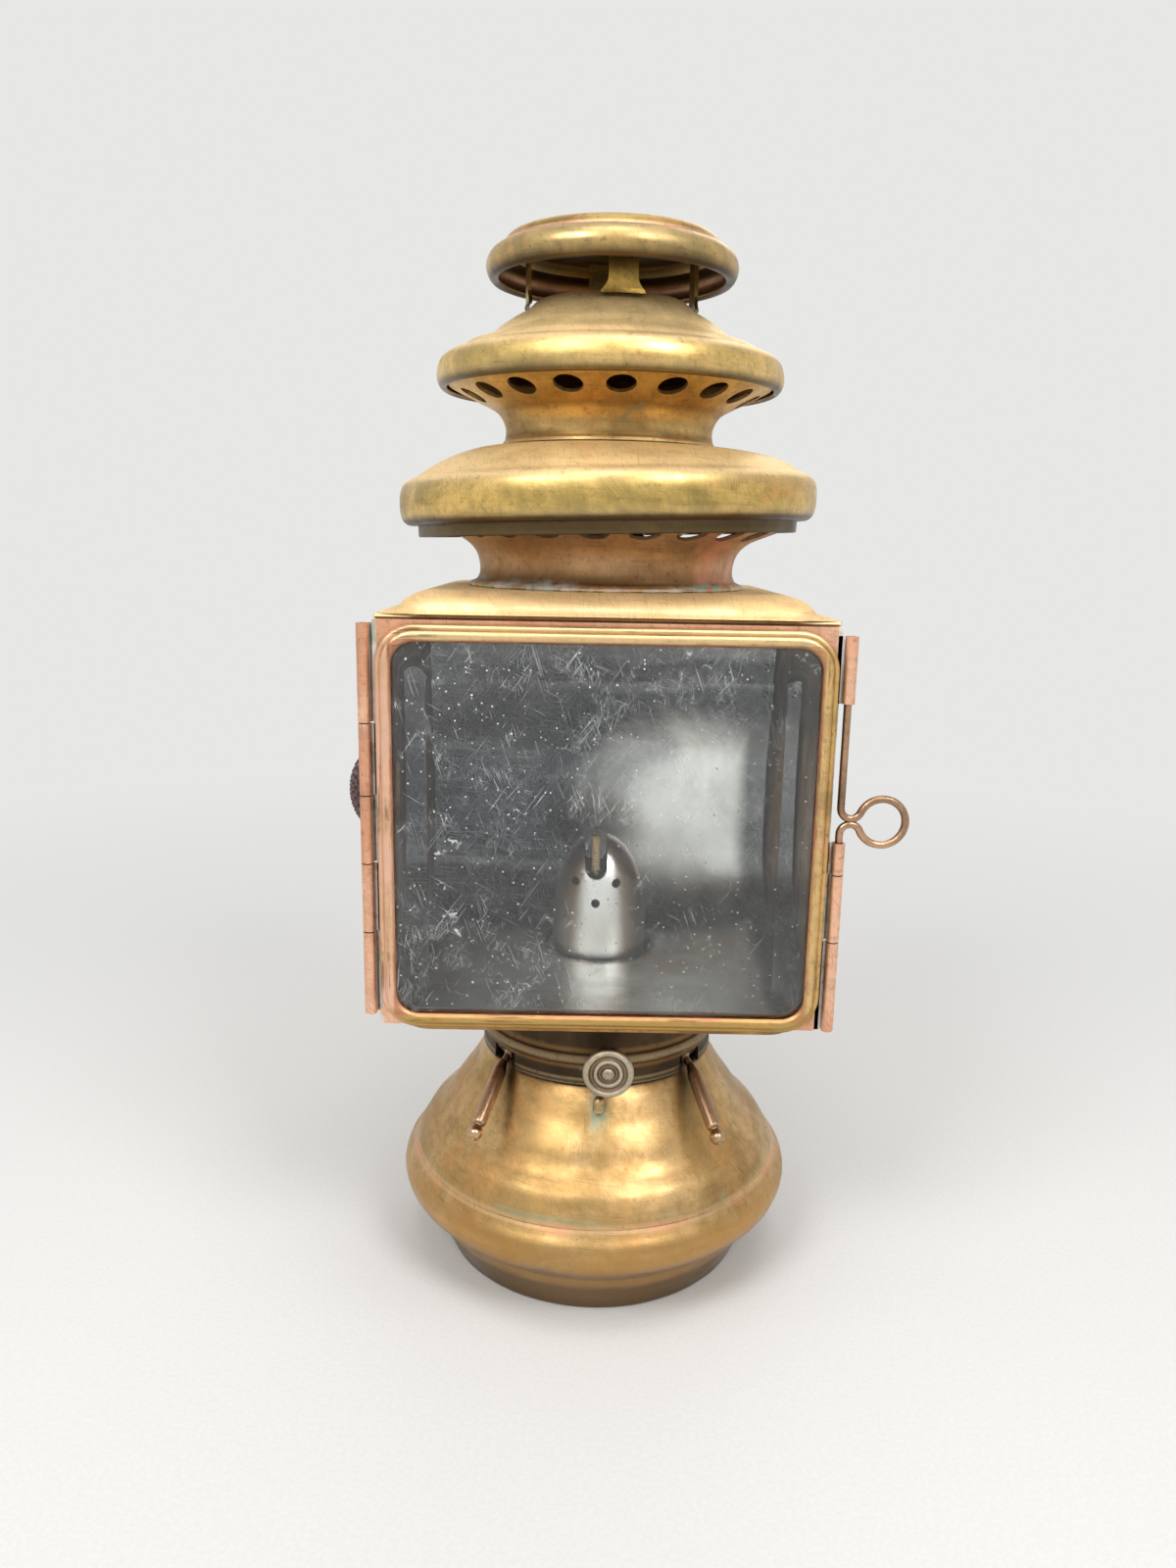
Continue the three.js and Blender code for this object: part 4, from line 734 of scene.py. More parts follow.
def clear_glass(name):
    """Old plate glass with fine scratches, specks, chips and smears, most of them at the upper left."""
    s = Surface(name, (0.95, 0.975, 0.97))
    corner = s.band(s.minus(s.times(s.axis(2), 0.6), s.axis(0)), 0.03, 0.13, 0.35, 1.0)
    fine = s.scratches(31, 0.16, (6, 24, -14, -40, 68), 0.15, 9.0)
    coarse = s.scratches(37, -0.1, (18, -35, 61), 0.24, 18.0)
    patches = s.blots(85, 4, 36, 0.53, 0.63, 0.03, 1.0, warp=0.5)
    scratch = s.most(s.times(fine, patches), coarse)
    specks = s.most(s.spots(330, 0.11, 0.14, 38), s.spots(800, 0.22, 0.12, 39))
    chips = s.times(s.blots(480, 8, 40, 0.54, 0.62, warp=0.8), s.blots(70, 5, 41, 0.64, 0.69))
    film = s.blots(40, 7, 42, 0.5, 0.8, 0.0, 0.03, warp=1.0)
    marks = s.most(s.times(scratch, 0.6), s.times(specks, 0.9))
    marks = s.most(marks, s.times(chips, 0.7))
    marks = s.plus(s.times(marks, corner), film, clamp=True)
    s.paint(marks, (0.85, 0.87, 0.88))
    s.bump(scratch, 0.03, 0.00005)
    return s.finish(Transmission_Weight=s.minus(1.0, marks), Roughness=0.01, IOR=1.5)


def ruby(name):
    s = Surface(name, (0.05, 0.004, 0.004))
    s.paint(s.noise(120, 4, 43), (0.12, 0.012, 0.01))
    s.bump(s.noise(700, 4, 45), 0.05, 0.0001)
    rough = s.blots(200, 5, 44, 0.35, 0.7, 0.04, 0.2)
    return s.finish(Transmission_Weight=0.55, IOR=1.52, Roughness=rough)


RIM_LEAN = 1.7  # degrees that the lower canopy's bent rim drops to the left
# Amounts below: under and corners set painted shade, dust sets dust with a painted top light.
canopy_brass = brass(
    "canopy_brass", (0.86, 0.58, 0.19), (0.4, 0.29, 0.09), crease=ROSE, spun=True, grime=0.4,
    corners=0.3, under=0.85, dust_and_top_light=0.9, extra=canopy_rim_shade,
)
cap_brass = brass(
    "cap_brass", (0.56, 0.35, 0.085), (0.2, 0.14, 0.035), crease=ROSE, spun=True, grime=0.5,
    corners=0.6, under=0.95, dust_and_top_light=0.2,
)
upper_neck_brass = brass(
    "upper_neck_brass", (0.8, 0.53, 0.19), (0.46, 0.29, 0.1), spun=True, dull=0.1, corners=0.6
)
lower_neck_brass = brass(
    "lower_neck_brass", (0.6, 0.385, 0.2), (0.4, 0.25, 0.13), (0.6, 0.39, 0.23),
    spun=True, dull=0.2, corners=0.6, extra=lower_neck_stains,
)
font_brass = brass(
    "font_brass", (0.63, 0.41, 0.185), (0.38, 0.235, 0.085), (0.6, 0.31, 0.11),
    spun=True, dull=0.01, green=0.35, grime=0.25, under=0.7, extra=font_stains,
)
roof_brass = brass(
    "roof_brass", TAN, (0.74, 0.52, 0.27), (0.86, 0.62, 0.38), dull=0.22, grime=0.15, corners=0.3, dust_and_top_light=0.7
)
case_brass = brass("case_brass", (0.46, 0.28, 0.12), BROWN, dull=0.12)
bezel_brass = brass(
    "bezel_brass", (0.74, 0.48, 0.18), (0.52, 0.32, 0.11), (0.74, 0.4, 0.22),
    dull=0.08, grime=0.6, corners=0.5, under=0.5, extra=bezel_stains,
)
hinge_copper = brass(
    "hinge_copper", (0.92, 0.56, 0.38), (0.72, 0.37, 0.22), ROSE, dull=0.12, corners=0.6, extra=hinge_stains
)
# Brass darkened to a painted shadow, for the font collar and the parts hidden inside the lamp.
dark_brass = brass(
    "dark_brass", (0.085, 0.055, 0.03), (0.05, 0.035, 0.022), (0.1, 0.055, 0.03), dull=0.2, grime=0.7
)
wire_copper = brass("wire_copper", (0.56, 0.36, 0.22), (0.32, 0.2, 0.12), (0.66, 0.36, 0.25), green=0.4)
knob_brass = brass(
    "knob_brass", (0.46, 0.45, 0.4), (0.22, 0.21, 0.18), (0.42, 0.4, 0.33), dull=0.1, green=0.5
)
mirror_silver = silver("mirror_silver", 0.97, (0.6, 0.58, 0.56), 0.16, 0.5, painted_reflections_and_soot)
nickel = silver("nickel", 0.98, (0.72, 0.66, 0.56), 0.27, 0.35, soot_and_painted_shade)
dark_steel = steel("dark_steel")
wick_cotton = cotton("wick_cotton", span("wick")[1].z)
plate_glass = clear_glass("plate_glass")
ruby_glass = ruby("ruby_glass")

# CAD nodes that stay as they are, inside the lamp or under other pieces. The brass ones get brass darkened
# to a painted shadow.
steels = "raiser_shaft", "catch_pin_left", "catch_pin_right", "hinge_pin"
brasses = "font_neck", "burner_base", "burner_gallery", "wick_tube", "spur_wheel_front", "spur_wheel_rear"
for node in steels + brasses:
    for material_slot in nodes[node].material_slots:
        material_slot.material = dark_brass if node in brasses else dark_steel

# ---------------------------------------------------------------- oil font
pan = [
    (0, 0, 1), (42, 0, 1), (43.2, 0.5), (43.7, 1.7), (46.5, 7.6), (49.4, 13.1, 1), (52.6, 16.2),
    (55.2, 19.1), (56.2, 22.5), (55.6, 25.7), (54, 28.1), (52.9, 29.8, 1),
]
piece("font_pan", uneven(spin(shell(flow(pan)))), font_brass)

dome = [
    (52.8, 29.7, 1), (52.1, 31.1), (50.6, 33.8), (48.9, 36.6), (47.2, 38.3), (45.4, 39.9), (43.4, 42.3),
    (41.4, 45.4), (39.6, 48), (37.3, 51.2), (33.6, 57), (31.6, 59.4), (29.8, 60.6, 1), (21.4, 60.6, 1),
]
piece("font_dome", uneven(spin(shell(flow(dome)))), font_brass)

low, high = span("locating_stud")
stud_r = (high.x - low.x) / 2
stud_top = high.z - low.z
stud = [(0, 0, 1), (stud_r, 0, 1), (stud_r, 1.2), (stud_r * 0.93, 2), (stud_r * 0.93, stud_top - 1.2)]
stud = flow([*stud, (stud_r * 0.6, stud_top - 0.3), (0, stud_top, 1)], 0.3)
centre = Matrix.Translation(((low.x + high.x) / 2, (low.y + high.y) / 2, low.z))
piece("locating_stud", placed(spin(stud, 32), centre), font_brass)

# ---------------------------------------------------------------- burner
low, high = span("burner_cap")
cap_r, shoulder = high.x, 96.5
slot_x, slot_z, slot_r = -1.2, 110.6, 3.1
cap = [(cap_r, low.z, 1), (cap_r, shoulder)]
for a in (0.3, 0.6, 0.9, 1.15, 1.35):
    cap.append((cap_r * math.cos(a), shoulder + (high.z - shoulder) * math.sin(a)))
cap = flow([*cap, (0, high.z, 1)], 0.6)
cuts = [block(slot_x - slot_r, slot_x + slot_r, -20, 20, slot_z + slot_r, high.z + 3)]
cuts += [rod((slot_x, -20, slot_z + slot_r), (slot_x, 20, slot_z + slot_r), slot_r, 32)]
for x, z in from_edge(slot_x, slot_z, (-5.6, -1), (5.6, -1), (0, -6.2)):
    cuts.append(rod((x, -20, z), (x, 20, z), 1.2, 20))
piece("burner_cap", spin(shell(cap, 0.8), 112), nickel, *([cut] for cut in cuts))

low, high = span("wick")
rows = 110
loops = []
for k in range(rows + 1):
    z = low.z + (high.z - low.z) * k / rows
    fray = max(0, (z - high.z + 4) / 4)
    loop = []
    for x, y in rounded(low.x, high.x, low.y, high.y, 1.1, 5, 8):
        here = Vector((x, y, z))
        pull = 0.12 + 0.1 * noise.noise(here * 0.9) + fray * 0.18 * (1 + noise.noise(here * 1.7))
        middle = Vector(((low.x + high.x) / 2, y * 0.85))
        at = Vector((x, y)) + (middle - Vector((x, y))).normalized() * pull
        loop.append((at.x, at.y, z - fray * 0.5 * (1 + noise.noise(Vector((x, y, 0)) * 1.2))))
    loops.append(loop)
piece("wick", skin(loops), wick_cotton)

# ---------------------------------------------------------------- wick knob
low, high = span("wick_knob")
knob_x, knob_z, knob_r = (low.x + high.x) / 2, (low.z + high.z) / 2, (high.x - low.x) / 2
front = -low.y - 0.4
knob = [(0, front - 2.2, 1)]
knob += from_edge(
    knob_r, front, (-0.6, -2.3), (-0.1, -1.9), (0, -1.1), (-0.2, -0.4), (-0.8, 0), (-1.4, -0.1),
    (-1.9, -0.8), (-2.5, -0.8), (-3, -0.2), (-3.6, -0.2), (-4.1, -0.9),
)
knob += from_edge(0, front, (1.9, -0.9), (1.5, -0.1), (0.8, 0.3), (0, 0.4, 1))
boss = [(0, -high.y, 1), (2.2, -high.y, 1), (2.4, -high.y + 0.3), (2.4, front - 2, 1), (0, front - 2, 1)]
turned = merged(spin(flow(knob, 0.25), 96), spin(flow(boss, 0.5), 48))
piece("wick_knob", placed(turned, Matrix.Translation((knob_x, 0, knob_z)) @ FRONTWARD), knob_brass)

# ---------------------------------------------------------------- housing
CASE = 52  # half width
FRONT = -46  # front plane
BACK = 46  # back plane
FLANGE = 54.6  # half width of the front flange and the door's plate
LOW, TOP = span("front_flange")[0].z, span("front_flange")[1].z
OPEN = (-50, 50, 87.3, 178.5, 5.6)  # door opening: left, right, low, high, corner
BARREL_X, BARREL_Y, BARREL_R = 56.7, -47.3, 1.6  # knuckles at both edges: axis and radius
SPLITS = (86.2, 107.5, 124.8, 141.6, 159.1, 182.5)  # heights where the hinge's knuckles end
CATCH_ANGLE = 218.5  # of the left catch's pivot, counted from +X


def wall_line(inset):
    """The folded wall seen from above, from front left round the back to front right."""
    half, r = CASE - inset, 7 - inset
    back, front = BACK - inset, -44.8
    line = [(-half, front + (back - r - front) * k / 16) for k in range(16)]
    line += arc(-half + r, back - r, r, 180, 90, 12)
    line += [(-half + r + (2 * half - 2 * r) * k / 20, back) for k in range(1, 20)]
    line += arc(half - r, back - r, r, 90, 0, 12)
    line += [(half, back - r - (back - r - front) * k / 16) for k in range(1, 17)]
    return line


def walls():
    """Side and back walls of one sheet, with their flats bowed in a little."""
    low, high = span("case_walls")
    section = wall_line(0) + list(reversed(wall_line(SHEET)))
    rows, flat_from, deepest = 30, 40, 0.35
    loops = []
    for k in range(rows + 1):
        z = low.z + (high.z - low.z) * k / rows
        loop = []
        for x, y in section:
            bow = deepest * max(0, noise.noise(Vector((x, y, z)) / 30)) * math.sin(math.pi * k / rows)
            loop.append((x - math.copysign(bow, x) * (abs(x) > flat_from), y - bow * (y > flat_from), z))
        loops.append(loop)
    return skin(loops)


jewel_low, jewel_high = span("jewel_lens")
jewel_y, jewel_z = (jewel_low.y + jewel_high.y) / 2, (jewel_low.z + jewel_high.z) / 2
piece("case_walls", walls(), case_brass, [rod((-60, jewel_y, jewel_z), (-45, jewel_y, jewel_z), 11, 48)])


def knuckle(side, low, high, bore, y0, y1):
    """Sheet curled round a pin, with its cut edge showing, and the leaf that it grows from."""
    ring = arc(0, 0, BARREL_R, 165, -152, 30) + arc(0, 0, bore, -152, 165, 30)
    curl = extrude([(side * (BARREL_X + x), BARREL_Y + y) for x, y in ring], low, high)
    inner, outer = sorted((side * (FLANGE - 1), side * (BARREL_X - bore - 0.15)))
    return merged(curl, block(inner, outer, y0, y1, low, high))


def framed_sheet(y0, y1, knuckles):
    """A flat sheet with the door opening, and its knuckles."""
    outside = rounded(-FLANGE, FLANGE, LOW, TOP, 0.5)
    inside = rounded(*OPEN)
    rings = (outside, y0), (inside, y0), (inside, y1), (outside, y1)
    loops = [[(x, y, z) for x, z in ring] for ring, y in rings]
    return merged(skin(loops, True, [0.1, 0.0, 0.0, 0.1]), *knuckles)


def barrel_ends(i):
    return SPLITS[i] + (0.15 if i else 0), SPLITS[i + 1] - (0.15 if i < 4 else 0)


housing_knuckles = [knuckle(-1, *barrel_ends(i), 0.95, FRONT, FRONT + SHEET) for i in (0, 2, 4)]
keeper = knuckle(1, 107, 123.8, 1.05, FRONT, FRONT + SHEET)
piece("front_flange", framed_sheet(FRONT, FRONT + SHEET, [*housing_knuckles, keeper]), hinge_copper)

plate_back, plate_front = FRONT - 0.3, FRONT - 0.3 - SHEET
door_knuckles = [knuckle(-1, *barrel_ends(i), 0.95, plate_front, plate_back) for i in (1, 3)]
guide_ends = (165.6, 181.4), (124.1, 131.9), (83.6, 106.7)
latch_guides = [knuckle(1, a, b, 1.05, plate_front, plate_back) for a, b in guide_ends]
piece("door_plate", framed_sheet(plate_front, plate_back, [*door_knuckles, *latch_guides]), hinge_copper)


def pressed_lid(levels, hole, thickness):
    """A pressed cover with a round hole. Its levels are (half width, front, back, corner, height)."""
    loops = []
    for drop in (0, thickness):
        part = []
        for half, front, back, corner, z in levels:
            ring = rounded(
                -half + drop, half - drop, front + drop, back - drop, max(corner - drop, 0.4), 12, 16
            )
            part.append([(x, y, z - drop) for x, y in ring])
        crown = part[-1]
        circle = [Vector((x, y)).normalized() * hole for x, y, _ in crown]
        pairs = list(zip(crown, circle))
        for share in (0.25, 0.5, 0.75, 1.0):
            part.append([(x + (c.x - x) * share, y + (c.y - y) * share, z) for (x, y, z), c in pairs])
        loops += part if not drop else reversed(part)
    return skin(loops, True)


roof_low, roof_high = span("roof")
edge_z = roof_low.z + SHEET
levels = [
    (FLANGE, FRONT, BACK + 1.4, 0.6, roof_low.z + 0.2), (FLANGE - 0.2, FRONT + 0.2, BACK + 1.2, 0.6, edge_z)
]
flat_top, slope, fillet = 41.5, 8.5, 0.9  # half width of the flat, and what the sides add to it
for k in range(17):
    a = math.pi / 2 * k / 16
    half = flat_top + slope * math.cos(a) + (fillet * (1 - k / 2) if k < 2 else 0)
    z = edge_z + (roof_high.z - edge_z) * math.sin(a)
    levels.append((half, -half + 4, half - 4, 8, z))
roof = pressed_lid(levels, 32.8, 0.6)
piece("roof", roof, roof_brass)

low, high = span("bottom_pan")
edges = [(0, 0), (0, 1.4), (0.5, 2.3), (1.4, 2.65), (3.2, 2.7)]
levels = [(50 - inset, -45 + inset, 44 - inset, 7, drop) for inset, drop in edges]
flip = Matrix.Translation((0, 0, high.z)) @ Matrix.Diagonal((1, 1, -1, 1))
piece("bottom_pan", placed(pressed_lid(levels, 32.1, 0.6), flip), case_brass)

low, high = span("font_collar")
top = high.z
collar = [(33, low.z, 1), (33, 65.6), (33.6, 66.2), (34.1, 67.4), (33.6, 68.6), (33, 69.3), (33, top - 2)]
collar = flow([*collar, (33.5, top - 1.1), (37, top - 0.9, 1), (37, top, 1)])
bore, ledge_r, ledge_top, ledge_low = 32.1, 29.8, 65.3, 64.3
inner = (bore, top), (bore, ledge_top), (ledge_r, ledge_top), (ledge_r, ledge_low), (bore, ledge_low)
inner = [Vector(p) for p in (*inner, (bore, low.z))]
slots = [(-90, knob_x, 3.8, 70.6)]  # for the knob's shaft and the two catches: angle, shift, width, height
slots += [(angle, 0, 9, ledge_low) for angle in (CATCH_ANGLE, 180 - CATCH_ANGLE)]
cuts = []
for angle, shift, width, height in slots:
    turn = Matrix.Translation((shift, 0, 0)) @ Matrix.Rotation(math.radians(angle), 4, "Z")
    cuts.append(placed(block(20, 40, -width / 2, width / 2, 50, height), turn))
# The collar gets brass darkened to a painted shadow.
piece("font_collar", spin([*collar, *inner]), dark_brass, cuts)


# ---------------------------------------------------------------- silvered mirror
def mirror():
    """A floor that sweeps up behind the flame, dished towards its sides."""
    half, columns, dish, thick = 50.3, 60, 5.5, 0.7
    full_at = 51  # length along the spine where the dish has its full depth
    spine = [(-43.9, 87.3), (-26, 88.1), (-8, 88.5)] + arc(7, 114.5, 26, -90, 0, 6)
    spine = flow([*spine, (33, 137), (29, 154), (20, 179.4)], 2.5)
    lengths = [0.0]
    for a, b in zip(spine, spine[1:]):
        lengths.append(lengths[-1] + (b - a).length)
    left = offset(spine, 1)
    loops = []
    for c in range(columns + 1):
        x = -half + 2 * half * c / columns
        lift = dish * (x / half) ** 2
        sheet = []
        for depth in (0, -thick):
            side = []
            for p, q, s in zip(spine, left, lengths):
                ripple = 0.25 * noise.noise(Vector((x, p.x, p.y)) / 16)
                at = p + (q - p) * (min(s / full_at, 1) * lift + depth + ripple)
                side.append((x, at.x, at.y))
            sheet.append(side)
        loops.append([*sheet[0], *reversed(sheet[1])])
    points, faces, wear = skin(loops)
    n = len(spine)
    faces = faces[:-2]
    last = len(points) - 2 * n
    for i in range(n - 1):
        faces.append((i, i + 1, 2 * n - 2 - i, 2 * n - 1 - i))
        faces.append((last + i, last + 2 * n - 1 - i, last + 2 * n - 2 - i, last + i + 1))
    return points, faces, wear


piece("mirror", mirror(), mirror_silver, [rod((0, 0, 80), (0, 0, 110), 14.4, 96)])

# ---------------------------------------------------------------- side jewel
low, high = span("jewel_bezel")
base, seat = -high.x, -low.x
ring_r = (high.y - low.y) / 2
ring = [(11.8, base, 1)]
ring += from_edge(ring_r, base, (0, 0, 1), (0, 0.5), (-0.6, 0.95), (-2.6, 1.3), (-3, 2))
ring += from_edge(
    ring_r, seat, (-3, -1.5), (-2.55, -0.8), (-2.7, -0.2), (-3.4, 0, 1), (-3.9, -0.6, 1), (-3.9, -2.6, 1)
)
ring += [(11.8, seat - 2.6, 1)]
ring = flow([*ring, (11.8, base, 1)], 0.5)[:-1]
onto_wall = Matrix.Translation((0, jewel_y, jewel_z)) @ LEFTWARD
piece("jewel_bezel", placed(spin(ring, 96), onto_wall), bezel_brass)


def jewel():
    """Pressed lens: a dome quilted into rows of small rounded facets."""
    sphere, rim, tip = 15.6, 13.4, -jewel_low.x
    centre = tip - sphere
    seat = centre + math.sqrt(sphere**2 - rim**2)
    sides, rows = 144, 40
    facets_up, facets_round, groove = 4.5, 18, 0.75
    edge = math.asin(rim / sphere)
    angles = [2 * math.pi * k / sides for k in range(sides)]
    loops = [[(rim * math.cos(a), rim * math.sin(a), seat - 1.6) for a in angles]]
    for row in range(rows):
        polar = edge * (1 - row / rows)
        loop = []
        for a in angles:
            u, v = polar / edge * facets_up, a * facets_round / (2 * math.pi)
            quilt = abs(math.sin(math.pi * (u + v))) * abs(math.sin(math.pi * (u - v)))
            fade = math.sin(min(1, polar / edge * 2.2) * math.pi / 2) if row else 0
            r = sphere - groove * (1 - quilt) * fade
            out = r * math.sin(polar)
            loop.append((out * math.cos(a), out * math.sin(a), centre + r * math.cos(polar)))
        loops.append(loop)
    return skin(loops)


piece("jewel_lens", placed(jewel(), onto_wall), ruby_glass, sharp=60)

# ---------------------------------------------------------------- bracket socket
low, high = span("bracket_socket")
y0, y1 = low.y, high.y
half, t = 11, 1.5
inner = [(half - 1, y1 - t), (half, y1 - t - 1), (half, y0 + 0.8), (half + 0.8, y0), (half + 9, y0, 1)]
outer = [(half + 9, y0 + t, 1), (half + t + 0.8, y0 + t), (half + t, y0 + t + 0.8)]
outer += [(half + t, y1 - 1.6), (half + t - 1.6, y1)]
section = [*mirrored(inner), *inner, *outer, *mirrored(outer), (-half - 9, y0, 1)]
outline = [tuple(p) for p in flow(section, 0.8)[:-1]]
piece("bracket_socket", extrude(outline, low.z, high.z), case_brass, sharp=50)
for i in range(1, 5):
    low, high = span(f"socket_rivet_{i}")
    at = Matrix.Translation(((low.x + high.x) / 2, 0, (low.z + high.z) / 2)) @ BACKWARD
    head = high.y - 1.3
    rivet = [
        (0, low.y, 1), (1.3, low.y, 1), (1.3, head, 1), (2.6, head, 1), (2.5, head + 0.4), (1.9, head + 0.95)
    ]
    rivet = flow([*rivet, (1, head + 1.25), (0, high.y, 1)], 0.35)
    piece(f"socket_rivet_{i}", placed(spin(rivet, 36), at), font_brass)

# ---------------------------------------------------------------- door bezel and glass
def upright(node, corner, inset, y, steps, along):
    """A ring in the shape of the bezel or the glass, set in from its outside, at a depth."""
    low, high = span(node)
    corner = max(corner - inset, 0.8)
    ring = rounded(low.x + inset, high.x - inset, low.z + inset, high.z - inset, corner, steps, along)
    return [(x, y, z) for x, z in ring]


low, high = span("door_bezel")
y0, y1 = high.y, low.y
glass_edge = plate_front - 0.3 - 1.8
profile = [
    (0, y0, 1), (0, y0 - 1.3), (0.25, y0 - 2), (0.8, y0 - 2.3), (1.35, y0 - 2.2, 1), (1.5, y1 + 0.5),
    (2.05, y1 + 0.06), (2.7, y1), (3.4, y1 + 0.2), (4, y1 + 0.75, 1), (4, glass_edge - 0.3, 1),
    (1.2, glass_edge - 0.3, 1), (1.2, y0, 1), (0, y0, 1),
]
profile = flow(profile, 0.35)[:-1]
worn = [  # worn bright along the crest, and dark in the groove beside it
    0.85 if 2.2 < p.x < 3.8 and p.y < y1 + 0.5 else (-0.5 if 1.2 < p.x < 1.5 and p.y < y0 - 2 else 0.1)
    for p in profile
]
rings = [upright("door_bezel", 9.5, p.x, p.y, 12, 40) for p in profile]
piece("door_bezel", skin(rings, True, worn), bezel_brass)

low, high = span("door_glass")
hidden_edge, bevel = 2.2, 8.2
levels = [(0.1, high.y), (0, high.y - 0.1), (0, glass_edge), (hidden_edge, glass_edge)]
levels += [(hidden_edge + bevel, low.y)]
rings = [upright("door_glass", OPEN[4] + hidden_edge, inset, y, 8, 12) for inset, y in levels]
piece("door_glass", skin(rings), plate_glass, sharp=3)

# ---------------------------------------------------------------- latch wire
wire_low, wire_high = span("latch_wire")
wire_r, loop_r, bend_r = 0.93, 5.65, 2.5
loop_x, loop_z = 10, 137.2  # centre of the finger loop, from the wire's line
reach = loop_x - bend_r
rise = math.sqrt((loop_r + bend_r) ** 2 - reach**2)
lean = math.degrees(math.atan2(rise, reach))
route = [(BARREL_X, wire_high.z - 1.5 * k) for k in range(23)]
route += arc(BARREL_X + bend_r, loop_z + rise, bend_r, 180, 360 - lean, 12)
route += arc(BARREL_X + loop_x, loop_z, loop_r, 180 - lean, -180 + lean, 44)[1:]
route += arc(BARREL_X + bend_r, loop_z - rise, bend_r, lean, 180, 12)[1:]
route += [(BARREL_X, wire_low.z + (loop_z - rise - wire_low.z) * (1 - k / 6)) for k in range(1, 7)]
piece("latch_wire", tube([(x, BARREL_Y, z) for x, z in route], wire_r), wire_copper)


# ---------------------------------------------------------------- spring catches
def catch():
    """The left catch: a ball-ended finger, a hub, and an arm that follows the font neck."""
    px, py = arc(0, 0, 30.9, CATCH_ANGLE, CATCH_ANGLE, 1)[0]
    z0, z1 = 61.4, 64
    arm_end = CATCH_ANGLE - 33
    arm = arc(0, 0, 29.5, CATCH_ANGLE, arm_end, 24) + arc(0, 0, 30.7, arm_end, CATCH_ANGLE, 24)
    arm = extrude(arm, z0, z1, 0.12)
    hub = extrude([(px + x, py + y) for x, y in arc(0, 0, 1.45, 0, 360, 32)[:-1]], z0, z1, 0.2)
    root, tip = Vector((-26.2, -22.2, 60.2)), Vector((-32.2, -38.2, 48))
    length = (tip - root).length
    r = 1.95
    shank = [(0, -1.5, 1), (0.95, -1.4), (1.5, 0.6), (r * 0.97, 1.9), (r, 3)]
    ball = (0.97, -3.9), (0.9, -3.2), (0.68, -2.7), (0.68, -2.2), (0.86, -1.7), (1.06, -0.4), (0.8, 0.9)
    shank += [(r * share, length + z) for share, z in (*ball, (0.4, 1.35))]
    shank += [(0, length - 0.4 + r * 1.06, 1)]
    way = Vector((0, 0, 1)).rotation_difference(tip - root).to_matrix().to_4x4()
    finger = placed(spin(flow(shank, 0.3), 40), Matrix.Translation(root) @ way)
    return merged(arm, hub, finger, rod((px, py, (z0 + z1) / 2), root, 0.95))


piece("catch_left", catch(), wire_copper)
piece("catch_right", placed(catch(), Matrix.Diagonal((-1, 1, 1, 1))), wire_copper)


# ---------------------------------------------------------------- chimney
def vented(node, line, vents, ring, vent_r, vent_z, tilt, turn, finish):
    """A flared neck with a row of slanted round vents."""
    cutters = []
    for k in range(vents):
        spot = Matrix.Translation((0, -ring, vent_z)) @ Matrix.Rotation(math.radians(-tilt), 4, "X")
        spot = Matrix.Rotation(math.radians(turn) + 2 * math.pi * k / vents, 4, "Z") @ spot
        cutters.append(placed(rod((0, 0, -4), (0, 0, 4), vent_r, 36), spot))
    piece(node, uneven(spin(shell(line)), 0.12), finish, cutters)


low, high = span("lower_neck")
z, edge = low.z, 48.8
line = from_edge(
    0, z, (36.7, 0, 1), (36.7, 0.5), (36.2, 0.9), (34.8, 1.5), (34, 3), (33.9, 5), (34.6, 8),
    (36, 10.1), (38.4, 11.9), (42.5, 13.6), (46, 14.9), (47.8, 15.4), (edge, 15.6, 1),
)
vented("lower_neck", flow(line), 22, edge - 6.3, 3.9, z + 13.6, 21, -4.9, lower_neck_brass)

low, high = span("upper_neck")
z, edge = low.z, 42.2
line = from_edge(
    0, z, (28, 0, 1), (27.9, 0.6), (27.4, 1.3), (27.1, 3), (27.2, 4.6), (27.9, 6.4), (29.2, 8.2),
    (31.4, 9.6), (35.8, 11.7), (39.6, 13.6), (41.2, 14.4), (edge, 14.9, 1),
)
vented("upper_neck", flow(line), 18, edge - 6.4, 3.6, z + 11.7, 26, 3.5, upper_neck_brass)


def leaned(shape):
    """The lower canopy's rim is bent: it drops to the left while its seat stays level."""
    points, faces, wear = shape
    moved = []
    for p in points:
        share = max(0.0, min(1.0, (math.hypot(p.x, p.y) - 30.1) / (48.8 - 30.1)))
        lift = math.tan(math.radians(RIM_LEAN)) * p.x * share * share * (3 - 2 * share)
        moved.append(Vector((p.x, p.y, p.z + lift)))
    return moved, faces, wear


r, z = 54.8, 206.4  # the rim's radius and underside
line = from_edge(
    0, z, (50, -2.7, 1), (50.1, -1), (50.2, 0.9, 1), (51.2, 0.25), (52.3, 0), (53.9, 1.1), (54.6, 3)
)
line += from_edge(
    r, z, (0, 5), (-0.1, 7.8), (-0.8, 10), (-2.4, 11.4), (-4.1, 12, 1), (-7.4, 14.2), (-12, 16.3),
    (-19, 18.2), (-25.4, 18.95), (-29.1, 19.1, 1),
)
piece("lower_canopy", leaned(uneven(spin(shell(flow(line))))), canopy_brass)

